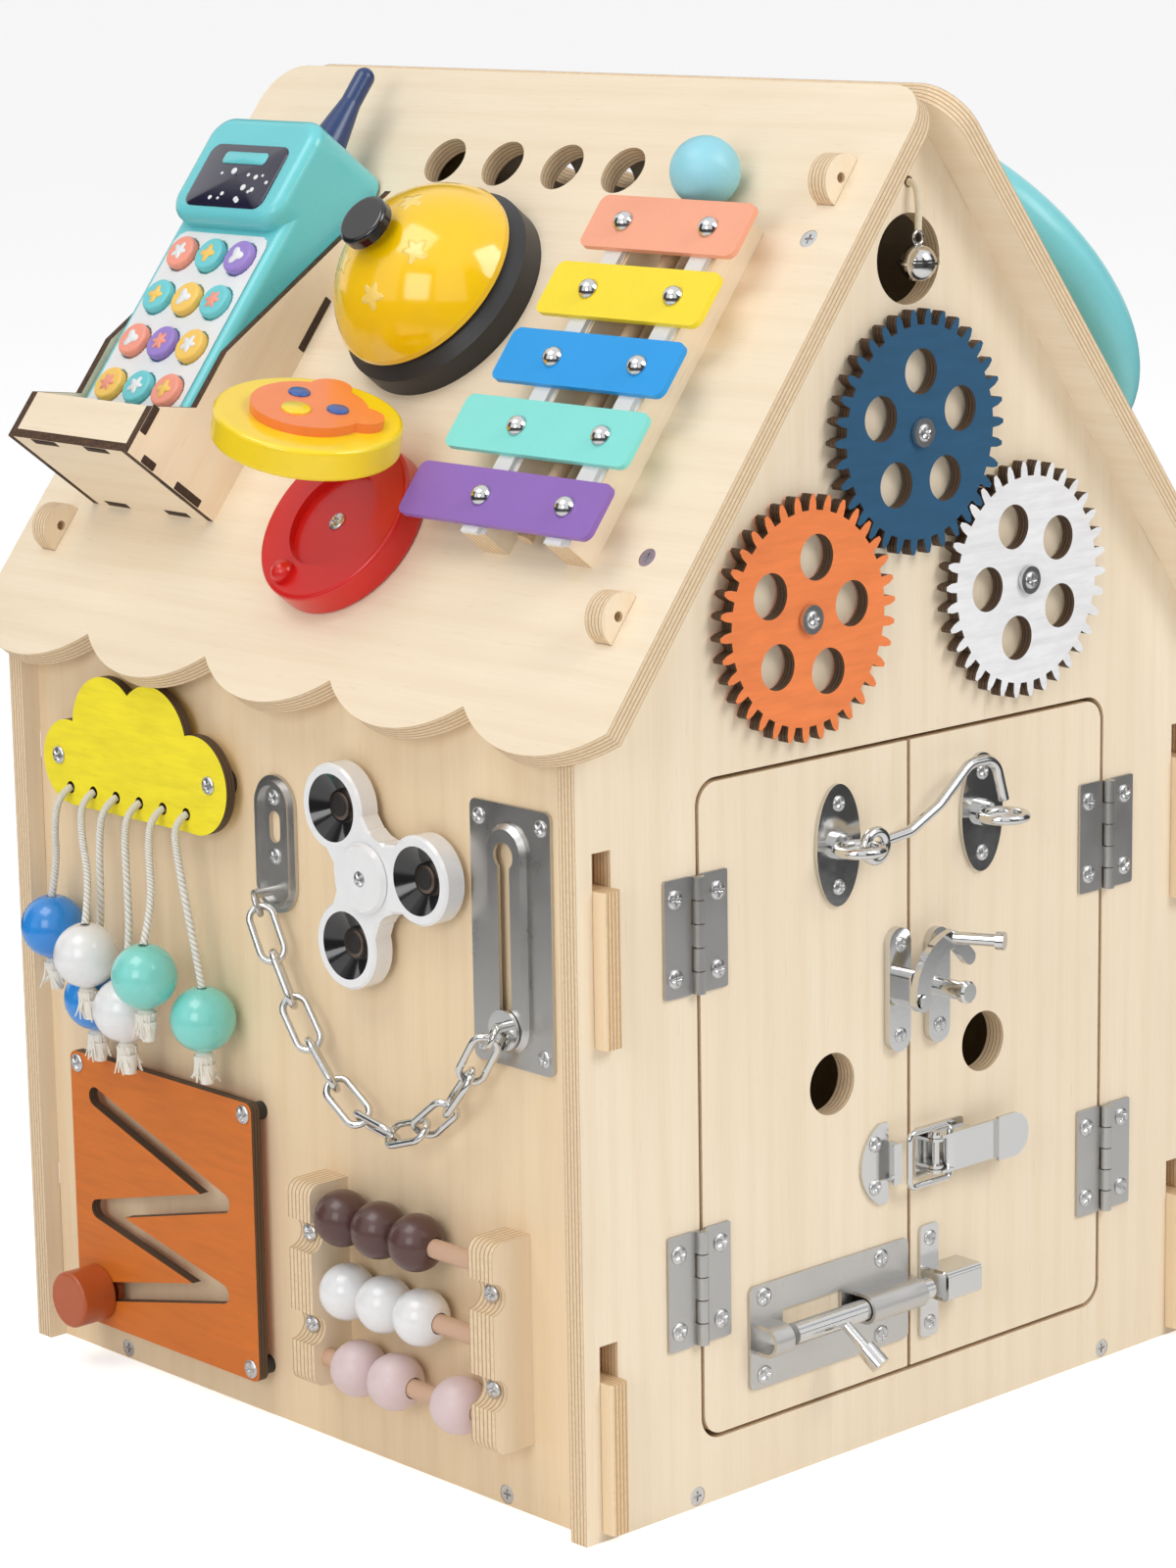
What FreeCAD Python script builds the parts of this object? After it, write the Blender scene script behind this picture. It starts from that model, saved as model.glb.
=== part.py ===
import FreeCAD, Part
import os
from math import sin, cos, tan, pi, radians, degrees, atan2, hypot

# Wooden busy house: a plywood box with a steep roof, every face a play panel.
# +X is the viewer's right at the door gable, -Y is out of the door gable, +Z is up.
# The origin is the centre of the base, on the surface the house stands on.
V = FreeCAD.Vector

# House
GABLE_W = 280.0          # width of a gable panel
HOUSE_D = 275.0          # front gable face to rear gable face
PLY = 7.0                # plywood of the house
WALL_RECESS = 6.4        # how far the side walls stand inside the gable edges
SLOPE = 52.15            # roof pitch in degrees
ROOF_APEX = 430.0        # where the two outer roof faces would meet
ROOF_LEN = 305.0         # along the ridge
SCALLOPS = 5             # scallops along one eave
CUSP_S = 230.0           # slope distance from the apex to the scallop cusps
SCALLOP_DROP = 11.5
ROOF_CORNER_R = 15.0
TAB_S = (44.0, 195.0)    # slope distances of the gable tabs
TAB_R = 8.0
PEG_HOLE_R = 1.6
RIDGE_HOLE_R = 8.5
RIDGE_HOLE_S = 44.0
RIDGE_HOLE_PITCH = 28.0
HOOK_Z = (3.0, 152.0)    # lowest point of each wall hook
HOOK_H = 47.0
HOOK_DROP = 11.0
HOOK_OUT = 5.0
SLOT_GAP = 0.15
SCREW_R = 2.9
SCREW_SHANK_R = 1.4
SCREW_LEN = 16.0

# Doors
DOOR_HALF = 92.0
DOOR_Z0 = 20.0
DOOR_Z1 = 225.0
DOOR_R = 8.0
DOOR_GAP = 1.4
FINGER_R = 9.8
FINGER_X = 34.5
FINGER_Z = 121.0
BELL_HOLE_R = 13.8
BELL_HOLE_Z = 371.0
CORD_HOLE_Z = 394.0
HINGE_H = 36.0
HINGE_Z = (70.0, 179.0)
HINGE_LEAF = 13.0
HINGE_T = 1.0
KNUCKLE_R = 1.9
PIN_R = 0.9
PIN_FIT = 0.05
KNUCKLE_GAP = 0.35

# Gears
GEAR_CD = 70.5
GEAR_TEETH = 34
GEAR_T = 4.0
GEAR_OFF = 1.2
GEAR_TOP_Z = 319.0
GEAR_SPREAD = 43.8       # angle of each lower gear from straight down
ADDENDUM = 2.0
DEDENDUM = 2.7
PIVOT_R = 3.0
PIVOT_FIT = 0.08

# Side wall items
WALL_ITEM_OFF = 4.0      # spacers behind the painted boards
BOARD_T = 3.5
BEAD_R = 10.6
ABACUS_R = 9.0
DOWEL_R = 3.0
DOWEL_FIT = 0.35

FRONT = -HOUSE_D / 2
WALL_X = GABLE_W / 2 - WALL_RECESS
A = radians(SLOPE)
UNDER_APEX = ROOF_APEX - PLY / cos(A)


def make_frame(origin, u, w):
    """A face frame: u to the right, w out of the face, v upwards in the face."""
    v = w.cross(u)
    return FreeCAD.Placement(FreeCAD.Matrix(
        u.x, v.x, w.x, origin.x, u.y, v.y, w.y, origin.y, u.z, v.z, w.z, origin.z, 0, 0, 0, 1))


GABLE = make_frame(V(0, FRONT, 0), V(1, 0, 0), V(0, -1, 0))
WALL = make_frame(V(-WALL_X, 0, 0), V(0, -1, 0), V(-1, 0, 0))
ROOF_L = make_frame(V(0, 0, ROOF_APEX), V(0, -1, 0), V(-sin(A), 0, cos(A)))
ROOF_R = make_frame(V(0, 0, ROOF_APEX), V(0, 1, 0), V(sin(A), 0, cos(A)))


def put(shape, frame):
    out = shape.copy()
    out.Placement = frame.multiply(out.Placement)
    return out


def box(u0, u1, v0, v1, w0, w1):
    return Part.makeBox(u1 - u0, v1 - v0, w1 - w0, V(u0, v0, w0))


def cyl(u, v, r, w0, w1):
    return Part.makeCylinder(r, w1 - w0, V(u, v, w0))


def rod(a, b, r):
    return Part.makeCylinder(r, (b - a).Length, a, b - a)


def ball(u, v, w, r):
    return Part.makeSphere(r, V(u, v, w))


def prism(points, w0, w1):
    wire = Part.makePolygon([V(p[0], p[1], w0) for p in points] + [V(points[0][0], points[0][1], w0)])
    return Part.Face(wire).extrude(V(0, 0, w1 - w0))


def rounded(u0, u1, v0, v1, r, w0, w1):
    solid = box(u0, u1, v0, v1, w0, w1)
    edges = [e for e in solid.Edges if abs(e.tangentAt(e.FirstParameter).z) > 0.9]
    return solid.makeFillet(r, edges)


def stadium(a, b, r, w0, w1):
    """A flat bar with round ends from point a to point b."""
    d = V(b[0] - a[0], b[1] - a[1], 0)
    n = V(-d.y, d.x, 0).normalize() * r
    e = V(d).normalize() * r
    pa, pb = V(a[0], a[1], w0), V(b[0], b[1], w0)
    wire = Part.Wire([
        Part.LineSegment(pa + n, pb + n).toShape(), Part.Arc(pb + n, pb + e, pb - n).toShape(),
        Part.LineSegment(pb - n, pa - n).toShape(), Part.Arc(pa - n, pa - e, pa + n).toShape()])
    return Part.Face(wire).extrude(V(0, 0, w1 - w0))


def rounded_path(points, radius):
    """Straight runs joined by tangent arcs; the radius shrinks where a run is short."""
    edges, last, radii = [], points[0], []
    for i in range(1, len(points) - 1):
        p, a, b = points[i], points[i - 1] - points[i], points[i + 1] - points[i]
        half = (pi - a.getAngle(b)) / 2
        r = min(radius, 0.45 * min(a.Length, b.Length) / tan(half))
        cut = r * tan(half)
        da, db = V(a).normalize(), V(b).normalize()
        start, end = p + da * cut, p + db * cut
        mid = (da + db).normalize() * (r / cos(half) - r) + p
        edges.append(Part.LineSegment(last, start).toShape())
        edges.append(Part.Arc(start, mid, end).toShape())
        last = end
        radii.append(round(r, 1))
    edges.append(Part.LineSegment(last, points[-1]).toShape())
    return Part.Wire(edges), radii


def wire_form(points, radius, wire_r):
    """Round bar bent along a path."""
    path, radii = rounded_path(points, radius)
    start = Part.Circle(points[0], points[1] - points[0], wire_r).toShape()
    solid = path.makePipeShell([Part.Wire([start])], True, False)
    ideal = pi * wire_r ** 2 * path.Length
    if abs(solid.Volume - ideal) > 0.02 * ideal:
        raise ValueError("bent bar has the wrong volume")
    return solid, radii


def fuse(shapes):
    out = shapes[0]
    for s in shapes[1:]:
        out = out.fuse(s)
    return out.removeSplitter()


def save(name, shapes, frame=None):
    shapes = shapes if isinstance(shapes, list) else [shapes]
    if frame is not None:
        shapes = [put(s, frame) for s in shapes]
    solids = [x for s in shapes for x in s.Solids]
    for s in solids:
        if not s.isValid():
            raise ValueError(name + " has a bad solid")
    out = Part.makeCompound(solids) if len(solids) > 1 else solids[0]
    out.exportStep("parts/" + name + ".step")


def screw_cutter(u, v, w):
    seat = cyl(u, v, SCREW_R + 0.1, w - 1.3, w + 0.1)
    return seat.fuse(cyl(u, v, SCREW_SHANK_R + BORE_FIT, w - SCREW_LEN, w))


def case_screw(u, v, w):
    head = cyl(u, v, SCREW_R, w - 1.2, w - 0.1)
    cross = box(u - 1.6, u + 1.6, v - 0.35, v + 0.35, w - 0.8, w)
    cross = cross.fuse(box(u - 0.35, u + 0.35, v - 1.6, v + 1.6, w - 0.8, w))
    return head.fuse(cyl(u, v, SCREW_SHANK_R, w - SCREW_LEN, w - 1.2)).cut(cross)


# Screw places: (frame, u, v) with the head flush in that face
GABLE_SCREWS = [(-94.0, PLY / 2), (94.0, PLY / 2)]
WALL_SCREWS = [(-95.0, PLY / 2), (95.0, PLY / 2)]
ROOF_SCREW_S = (64.0, 174.0)
ROOF_SCREWS = [(-FRONT - PLY / 2, -s) for s in ROOF_SCREW_S]
BORE_FIT = 0.05           # round the screw shanks, on radius
CORD_HOLE_R = 1.8
PIVOT_HOLE_R = 1.55


# House panels

def tab_shapes(frame, gable_u):
    out = []
    for s in TAB_S:
        disc = Part.makeCylinder(TAB_R, PLY, V(gable_u - PLY / 2, -s, 1.0), V(1, 0, 0))
        disc = disc.common(box(gable_u - PLY, gable_u + PLY, -s - 9, -s + 9, 1.0, 12))
        neck = box(gable_u - PLY / 2, gable_u + PLY / 2, -s - TAB_R, -s + TAB_R, -PLY - 1.0, 1.0)
        peg = Part.makeCylinder(PEG_HOLE_R, PLY + 2, V(gable_u - PLY / 2 - 1, -s, 2.6), V(1, 0, 0))
        out.append(put(neck.fuse(disc).removeSplitter().cut(peg), frame))
    return out


def gable_panel(front):
    half = GABLE_W / 2
    eave = UNDER_APEX - half * tan(A)
    outline = [(-half, 0), (half, 0), (half, eave), (0, UNDER_APEX), (-half, eave)]
    panel = prism(outline, -PLY, 0)
    slots = []
    for side in (-1, 1):
        centre = side * (WALL_X - PLY / 2)
        for z in HOOK_Z:
            slots.append(box(centre - PLY / 2 - SLOT_GAP, centre + PLY / 2 + SLOT_GAP,
                             z + HOOK_DROP - SLOT_GAP, z + HOOK_H + HOOK_DROP, -PLY - 1, 1))
    if front:
        slots.append(rounded(-DOOR_HALF, DOOR_HALF, DOOR_Z0, DOOR_Z1, DOOR_R, -PLY - 1, 1))
        slots.append(cyl(0, BELL_HOLE_Z, BELL_HOLE_R, -PLY - 1, 1))
        slots.append(cyl(0, CORD_HOLE_Z, CORD_HOLE_R, -PLY - 1, 1))
        for u, v in gear_centres():
            slots.append(cyl(u, v, PIVOT_HOLE_R, -PLY - 1, 1))
    slots += [screw_cutter(u, v, 0) for u, v in GABLE_SCREWS]
    panel = panel.cut(slots)
    panel = put(panel, GABLE)
    y_mid = FRONT + PLY / 2
    tabs = tab_shapes(ROOF_L, -y_mid) + tab_shapes(ROOF_R, y_mid)
    panel = panel.fuse(tabs).removeSplitter()
    if not front:
        panel = panel.mirror(V(0, 0, 0), V(0, 1, 0))
    roof_holes = []
    for frame, sign in ((ROOF_L, 1), (ROOF_R, -1)):
        y = (FRONT + PLY / 2) if front else -(FRONT + PLY / 2)
        for s in ROOF_SCREW_S:
            roof_holes.append(put(cyl(-y * sign, -s, SCREW_SHANK_R + BORE_FIT, -SCREW_LEN, 0), frame))
    return panel.cut(roof_holes)


def wall_panel():
    """Left wall in its own face frame, with two hooks at each end."""
    inner = HOUSE_D / 2 - PLY
    top = UNDER_APEX - WALL_X * tan(A)
    shapes = [box(-inner, inner, 0, top, -PLY, 0)]
    for end in (-1, 1):
        for z in HOOK_Z:
            outside = end * (inner + PLY + SLOT_GAP)
            neck0, neck1 = sorted((end * inner, outside))
            head0, head1 = sorted((outside, end * (inner + PLY + HOOK_OUT)))
            shapes.append(box(neck0, neck1, z + HOOK_DROP, z + HOOK_H, -PLY, 0))
            head = box(head0, head1, z, z + HOOK_H, -PLY, 0)
            rim = [e for e in head.Edges if abs(e.tangentAt(e.FirstParameter).y) > 0.9
                   and abs(e.CenterOfMass.x) > inner + PLY + 1]
            shapes.append(head.makeFillet(1.5, rim))
    return fuse(shapes)


def roof_panel():
    """Outline in the roof face: rounded top corners and a scalloped eave."""
    half, top = ROOF_LEN / 2, -PLY * tan(A)
    step = ROOF_LEN / SCALLOPS
    r, k = ROOF_CORNER_R, ROOF_CORNER_R * (1 - cos(pi / 4))
    edges = [Part.LineSegment(V(-half + r, top, 0), V(half - r, top, 0)).toShape(),
             Part.Arc(V(half - r, top, 0), V(half - k, top - k, 0), V(half, top - r, 0)).toShape(),
             Part.LineSegment(V(half, top - r, 0), V(half, -CUSP_S, 0)).toShape()]
    for i in range(SCALLOPS):
        u = half - i * step
        edges.append(Part.Arc(V(u, -CUSP_S, 0), V(u - step / 2, -CUSP_S - SCALLOP_DROP, 0),
                              V(u - step, -CUSP_S, 0)).toShape())
    edges += [Part.LineSegment(V(-half, -CUSP_S, 0), V(-half, top - r, 0)).toShape(),
              Part.Arc(V(-half, top - r, 0), V(-half + k, top - k, 0), V(-half + r, top, 0)).toShape()]
    panel = Part.Face(Part.Wire(edges)).extrude(V(0, 0, -PLY))
    cuts = []
    for i in range(4):
        cuts.append(cyl((i - 1.5) * RIDGE_HOLE_PITCH, -RIDGE_HOLE_S, RIDGE_HOLE_R, -PLY - 1, 1))
    for end in (-1, 1):
        u = end * (HOUSE_D / 2 - PLY / 2)
        for s in TAB_S:
            cuts.append(box(u - PLY / 2 - SLOT_GAP, u + PLY / 2 + SLOT_GAP,
                            -s - TAB_R - SLOT_GAP, -s + TAB_R + SLOT_GAP, -PLY - 1, 1))
        for _, v in ROOF_SCREWS:
            cuts.append(screw_cutter(u, v, 0))
    return panel.cut(cuts)


def gear_centres():
    a = radians(GEAR_SPREAD)
    return [(0.0, GEAR_TOP_Z), (-GEAR_CD * sin(a), GEAR_TOP_Z - GEAR_CD * cos(a)),
            (GEAR_CD * sin(a), GEAR_TOP_Z - GEAR_CD * cos(a))]


def build_house():
    floor_half_x, floor_half_y = WALL_X - PLY, HOUSE_D / 2 - PLY
    floor = box(-floor_half_x, floor_half_x, -floor_half_y, floor_half_y, 0, PLY)
    wall = wall_panel()
    left = put(wall.cut([screw_cutter(u, v, 0) for u, v in WALL_SCREWS]), WALL)
    right = left.mirror(V(0, 0, 0), V(1, 0, 0))
    screws = [put(case_screw(u, v, 0), GABLE) for u, v in GABLE_SCREWS]
    screws += [s.mirror(V(0, 0, 0), V(0, 1, 0)) for s in screws]
    side = [put(case_screw(u, v, 0), WALL) for u, v in WALL_SCREWS]
    screws += side + [s.mirror(V(0, 0, 0), V(1, 0, 0)) for s in side]
    for frame in (ROOF_L, ROOF_R):
        for end in (-1, 1):
            for u, v in ROOF_SCREWS:
                screws.append(put(case_screw(end * u, v, 0), frame))
    bores = [put(cyl(u, v, SCREW_SHANK_R + BORE_FIT, -SCREW_LEN, 0), GABLE) for u, v in GABLE_SCREWS]
    bores += [b.mirror(V(0, 0, 0), V(0, 1, 0)) for b in bores]
    more = [put(cyl(u, v, SCREW_SHANK_R + BORE_FIT, -SCREW_LEN, 0), WALL) for u, v in WALL_SCREWS]
    bores += more + [b.mirror(V(0, 0, 0), V(1, 0, 0)) for b in more]
    roof = roof_panel()
    save("front_gable", gable_panel(True))
    save("rear_gable", gable_panel(False))
    save("left_wall", left)
    save("right_wall", right)
    save("floor_panel", floor.cut(bores))
    save("left_roof", roof, ROOF_L)
    save("right_roof", roof, ROOF_R)
    save("case_screws", screws)


# Doors and their hardware, all in the gable frame

HINGE_U = DOOR_HALF + 0.9
HINGE_W = KNUCKLE_R + 0.06


def door_leaf(side):
    """One leaf, rounded at its outer corners, with a finger hole."""
    inner = side * DOOR_GAP / 2
    outer = side * (DOOR_HALF - DOOR_GAP)
    u0, u1 = sorted((inner, outer))
    leaf = box(u0, u1, DOOR_Z0 + DOOR_GAP, DOOR_Z1 - DOOR_GAP, -PLY, 0)
    edges = [e for e in leaf.Edges if abs(e.tangentAt(e.FirstParameter).z) > 0.9
             and abs(e.CenterOfMass.x - outer) < 0.1]
    leaf = leaf.makeFillet(DOOR_R - 1, edges)
    return leaf.cut(cyl(side * FINGER_X, FINGER_Z, FINGER_R, -PLY - 1, 1))


def hinge_leaf(side, z, on_door):
    """Plate with rolled knuckles: three on the frame leaf, two on the door leaf."""
    toward = -side if on_door else side
    pieces, part = [], HINGE_H / 5
    u0, u1 = sorted((side * HINGE_U + toward * KNUCKLE_R * 1.15, side * HINGE_U + toward * HINGE_LEAF))
    plate = rounded(u0, u1, z - HINGE_H / 2, z + HINGE_H / 2, 0.8, 0.02, HINGE_T)
    pieces.append(plate)
    for i in range(5):
        if (i % 2 == 0) == on_door:
            continue
        v0 = z - HINGE_H / 2 + i * part + KNUCKLE_GAP / 2
        roll = Part.makeCylinder(KNUCKLE_R, part - KNUCKLE_GAP, V(side * HINGE_U, v0, HINGE_W), V(0, 1, 0))
        web0, web1 = sorted((side * HINGE_U + toward * 1.2, side * HINGE_U + toward * KNUCKLE_R * 1.3))
        web = box(web0, web1, v0, v0 + part - KNUCKLE_GAP, 0.02, HINGE_T)
        pieces.append(roll.fuse(web))
    leaf = fuse(pieces)
    bore = PIN_R + (PIN_FIT if on_door else -0.001)
    hole = Part.makeCylinder(bore, HINGE_H + 2, V(side * HINGE_U, z - HINGE_H / 2 - 1, HINGE_W), V(0, 1, 0))
    leaf = leaf.cut(hole)
    holes = [cyl((u0 + u1) / 2 + toward * 1.2, z + dz, 1.9, -1, 3) for dz in (-12, 12)]
    return leaf.cut(holes)


def hinge_pin(side, z):
    return Part.makeCylinder(PIN_R, HINGE_H, V(side * HINGE_U, z - HINGE_H / 2, HINGE_W), V(0, 1, 0))


def build_doors():
    pins = []
    for side, name in ((-1, "left"), (1, "right")):
        save(name + "_door", door_leaf(side), GABLE)
        save(name + "_door_hinge_leaves", [hinge_leaf(side, z, True) for z in HINGE_Z], GABLE)
        pins += [fuse([hinge_leaf(side, z, False), hinge_pin(side, z)]) for z in HINGE_Z]
    save("frame_hinge_leaves", pins, GABLE)


# Cabin hook
HOOK_EYE_U = 32.5
EYE_Z = 196.0
EYE_RING = 7.0
EYE_WIRE = 1.6
EYE_OUT = 10.0
HOOK_WIRE = 1.7
HOOK_LOOP_R = 4.4
HOOK_REST_LIFT = 13.0    # degrees that the hook is lifted above the engaged place
HOOK_PIVOT = (-HOOK_EYE_U + EYE_RING, EYE_Z)


def eye_plate(u):
    """Oval plate with a staple ring standing out of it, level."""
    face = Part.Face(Part.Wire([Part.Ellipse(V(u, EYE_Z, 0), 19, 9.5).toShape()]))
    face.rotate(V(u, EYE_Z, 0), V(0, 0, 1), 90)
    plate = face.extrude(V(0, 0, 1.4))
    ring = Part.makeTorus(EYE_RING, EYE_WIRE, V(u, EYE_Z, EYE_OUT), V(0, 1, 0))
    ring = ring.cut(box(u - 20, u + 20, EYE_Z - 5, EYE_Z + 5, -20, 0.7))
    collar = cyl(u, EYE_Z, 4.2, 0.5, 3.4)
    return fuse([plate, collar, ring])


def cabin_hook():
    """Loop round the side of the left ring, a swan-necked shank, and a tip for the right ring."""
    u, z = HOOK_PIVOT
    loop = Part.makeTorus(HOOK_LOOP_R, HOOK_WIRE, V(u, z, EYE_OUT), V(0, 0, 1))
    points = [V(u + HOOK_LOOP_R, z, EYE_OUT), V(u + 15, z - 1.5, EYE_OUT), V(4, z + 1.5, EYE_OUT),
              V(20, z + 9.0, EYE_OUT), V(HOOK_EYE_U - 1, z + 6.5, EYE_OUT), V(HOOK_EYE_U, z - 8, EYE_OUT)]
    bar = wire_form(points, 7.0, HOOK_WIRE)[0]
    hook = fuse([loop, bar])
    hook.rotate(V(u, z, 0), V(0, 0, 1), HOOK_REST_LIFT)
    return hook


# Swing latch
SWING_U = -6.5
SWING_Z = (131.0, 161.0)
POST_U = 11.5
POST_Z = (130.5, 158.0)
SWING_PIVOT = (-4.2, 143.0)
SWING_W = 9.0


def swing_base():
    foot = stadium((SWING_U, SWING_Z[0]), (SWING_U, SWING_Z[1]), 4.8, 0.02, 2.6)
    u, v = SWING_PIVOT
    boss = stadium((u, v), (u, v + 7), 2.6, 2.0, SWING_W - 1.6)
    pin = cyl(u, v, 1.3, SWING_W - 1.7, SWING_W + 2.2)
    head = cyl(u, v, 2.3, SWING_W + 1.9, SWING_W + 2.7)
    return fuse([foot, boss, pin, head])


def swing_arm():
    """Cane-shaped flat arm that swings over to the post, with a finger rod on top."""
    pu, pv = SWING_PIVOT
    pad = cyl(pu, pv, 3.4, SWING_W - 1.3, SWING_W + 1.3)
    outer = [V(pu - 3.2, pv, 0), V(pu + 2.0, pv + 14.5, 0), V(pu + 14.0, pv + 20.5, 0)]
    inner = [V(pu + 3.2, pv, 0), V(pu + 6.6, pv + 10.5, 0), V(pu + 14.2, pv + 15.0, 0)]
    wire = Part.Wire([Part.Arc(*outer).toShape(), Part.LineSegment(outer[2], inner[2]).toShape(),
                      Part.Arc(inner[2], inner[1], inner[0]).toShape(),
                      Part.LineSegment(inner[0], outer[0]).toShape()])
    band = Part.Face(wire).extrude(V(0, 0, 2.6))
    band.translate(V(0, 0, SWING_W - 1.3))
    drop = stadium((pu + 14.6, pv + 17.6), (pu + 21.4, pv + 10.4), 2.4, SWING_W - 1.3, SWING_W + 1.3)
    finger = rod(V(pu + 14.6, pv + 17.8, SWING_W + 0.5), V(pu + 21.0, pv + 17.8, SWING_W + 13.0), 2.0)
    knob = rod(V(pu + 20.8, pv + 17.8, SWING_W + 12.6), V(pu + 22.0, pv + 17.8, SWING_W + 15.0), 2.9)
    hole = cyl(pu, pv, 1.36, SWING_W - 3, SWING_W + 3)
    return fuse([pad, band, drop, finger, knob]).cut(hole)


def swing_post():
    foot = stadium((POST_U, POST_Z[0]), (POST_U, POST_Z[1]), 4.8, 0.02, 2.6)
    stem = cyl(POST_U + 1.0, 143.5, 3.0, 2.0, 12.0)
    head = cyl(POST_U + 1.0, 143.5, 3.6, 11.8, 14.4)
    return fuse([foot, stem, head.makeChamfer(0.7, head.Edges[:1])])


# Toggle latch
TOGGLE_Z = 91.0
TOGGLE_AXIS_U = 7.5
TOGGLE_AXIS_W = 4.6
LOOP_PIVOT_U = 13.0
LOOP_PIVOT_W = 5.6
LOOP_BAR_U = -5.6
LOOP_HALF = 8.8
LEVER_HALF = 6.2
AXLE_R = 1.2


def along_v(u, w, r, half):
    return Part.makeCylinder(r, 2 * half, V(u, TOGGLE_Z - half, w), V(0, 1, 0))


def toggle_catch():
    """D-shaped plate with a neck that curls out to a hook for the wire loop."""
    plate = cyl(-8.0, TOGGLE_Z, 14.5, 0.02, 1.2)
    plate = plate.common(box(-24.0, -10.6, TOGGLE_Z - 13.0, TOGGLE_Z + 13.0, 0, 2))
    neck = box(-11.2, -8.6, TOGGLE_Z - 6.5, TOGGLE_Z + 6.5, 0.02, 1.2)
    riser = box(-9.6, -8.4, TOGGLE_Z - 6.5, TOGGLE_Z + 6.5, 0.02, 5.0)
    lip = box(-12.0, -8.4, TOGGLE_Z - 6.5, TOGGLE_Z + 6.5, 4.0, 5.0)
    screws = [cyl(-16.6, TOGGLE_Z + dz, 1.8, -1, 3) for dz in (-7.0, 7.0)]
    return fuse([plate, neck, riser, lip]).cut(screws)


def toggle_base():
    """Screwed plate with two ears that carry the lever's axle."""
    plate = rounded(2.0, 24.0, TOGGLE_Z - 8.0, TOGGLE_Z + 8.0, 1.5, 0.02, 1.2)
    ears = []
    for side in (-1, 1):
        z0, z1 = sorted((TOGGLE_Z + side * 3.9, TOGGLE_Z + side * 4.9))
        ears.append(box(TOGGLE_AXIS_U - 2.5, TOGGLE_AXIS_U + 2.5, z0, z1, 0.6, TOGGLE_AXIS_W))
        ears.append(Part.makeCylinder(2.5, z1 - z0, V(TOGGLE_AXIS_U, z0, TOGGLE_AXIS_W), V(0, 1, 0)))
    return fuse([plate] + ears + [along_v(TOGGLE_AXIS_U, TOGGLE_AXIS_W, AXLE_R, LEVER_HALF + 0.6)])


def toggle_lever():
    """Lever with side flanges on the axle, a roll round the loop's bar, and a joggled tongue."""
    w = LOOP_PIVOT_W + 1.3
    shapes = [along_v(LOOP_PIVOT_U, LOOP_PIVOT_W, 2.5, LEVER_HALF),
              box(LOOP_PIVOT_U, 33.0, TOGGLE_Z - LEVER_HALF, TOGGLE_Z + LEVER_HALF, w, w + 1.2),
              box(32.0, 33.2, TOGGLE_Z - LEVER_HALF, TOGGLE_Z + LEVER_HALF, w, w + 2.4)]
    tongue = stadium((30.0, TOGGLE_Z), (39.0, TOGGLE_Z), 7.2, w + 1.2, w + 2.4)
    shapes.append(tongue.cut(box(0, 32.0, TOGGLE_Z - 20, TOGGLE_Z + 20, 0, 20)))
    for side in (-1, 1):
        z0, z1 = sorted((TOGGLE_Z + side * (LEVER_HALF - 1.0), TOGGLE_Z + side * LEVER_HALF))
        shapes.append(box(TOGGLE_AXIS_U - 0.5, 22.0, z0, z1, TOGGLE_AXIS_W - 2.0, w + 1.2))
        shapes.append(Part.makeCylinder(2.6, z1 - z0, V(TOGGLE_AXIS_U, z0, TOGGLE_AXIS_W), V(0, 1, 0)))
    bores = [along_v(TOGGLE_AXIS_U, TOGGLE_AXIS_W, AXLE_R + PIN_FIT, 20),
             along_v(LOOP_PIVOT_U, LOOP_PIVOT_W, 1.0 + PIN_FIT, 20)]
    return fuse(shapes).cut(bores)


def toggle_loop():
    """Closed wire loop, pivoted on the lever, that reaches over to the catch."""
    u0, u1, w, c = LOOP_BAR_U, LOOP_PIVOT_U, LOOP_PIVOT_W, 2.2
    z0, z1 = TOGGLE_Z - LOOP_HALF, TOGGLE_Z + LOOP_HALF
    k = c * (1 - cos(pi / 4))
    path = Part.Wire([
        Part.LineSegment(V(u0 + c, z0, w), V(u1 - c, z0, w)).toShape(),
        Part.Arc(V(u1 - c, z0, w), V(u1 - k, z0 + k, w), V(u1, z0 + c, w)).toShape(),
        Part.LineSegment(V(u1, z0 + c, w), V(u1, z1 - c, w)).toShape(),
        Part.Arc(V(u1, z1 - c, w), V(u1 - k, z1 - k, w), V(u1 - c, z1, w)).toShape(),
        Part.LineSegment(V(u1 - c, z1, w), V(u0 + c, z1, w)).toShape(),
        Part.Arc(V(u0 + c, z1, w), V(u0 + k, z1 - k, w), V(u0, z1 - c, w)).toShape(),
        Part.LineSegment(V(u0, z1 - c, w), V(u0, z0 + c, w)).toShape(),
        Part.Arc(V(u0, z0 + c, w), V(u0 + k, z0 + k, w), V(u0 + c, z0, w)).toShape()])
    start = Part.Wire([Part.Circle(V(u0 + c, z0, w), V(1, 0, 0), 1.0).toShape()])
    return path.makePipeShell([start], True, False)


# Barrel bolt
BOLT_Z = 48.0
BOLT_R = 3.4
BOLT_W = 6.2
BOLT_FIT = 0.35
BOLT_TIP = 3.2


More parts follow.
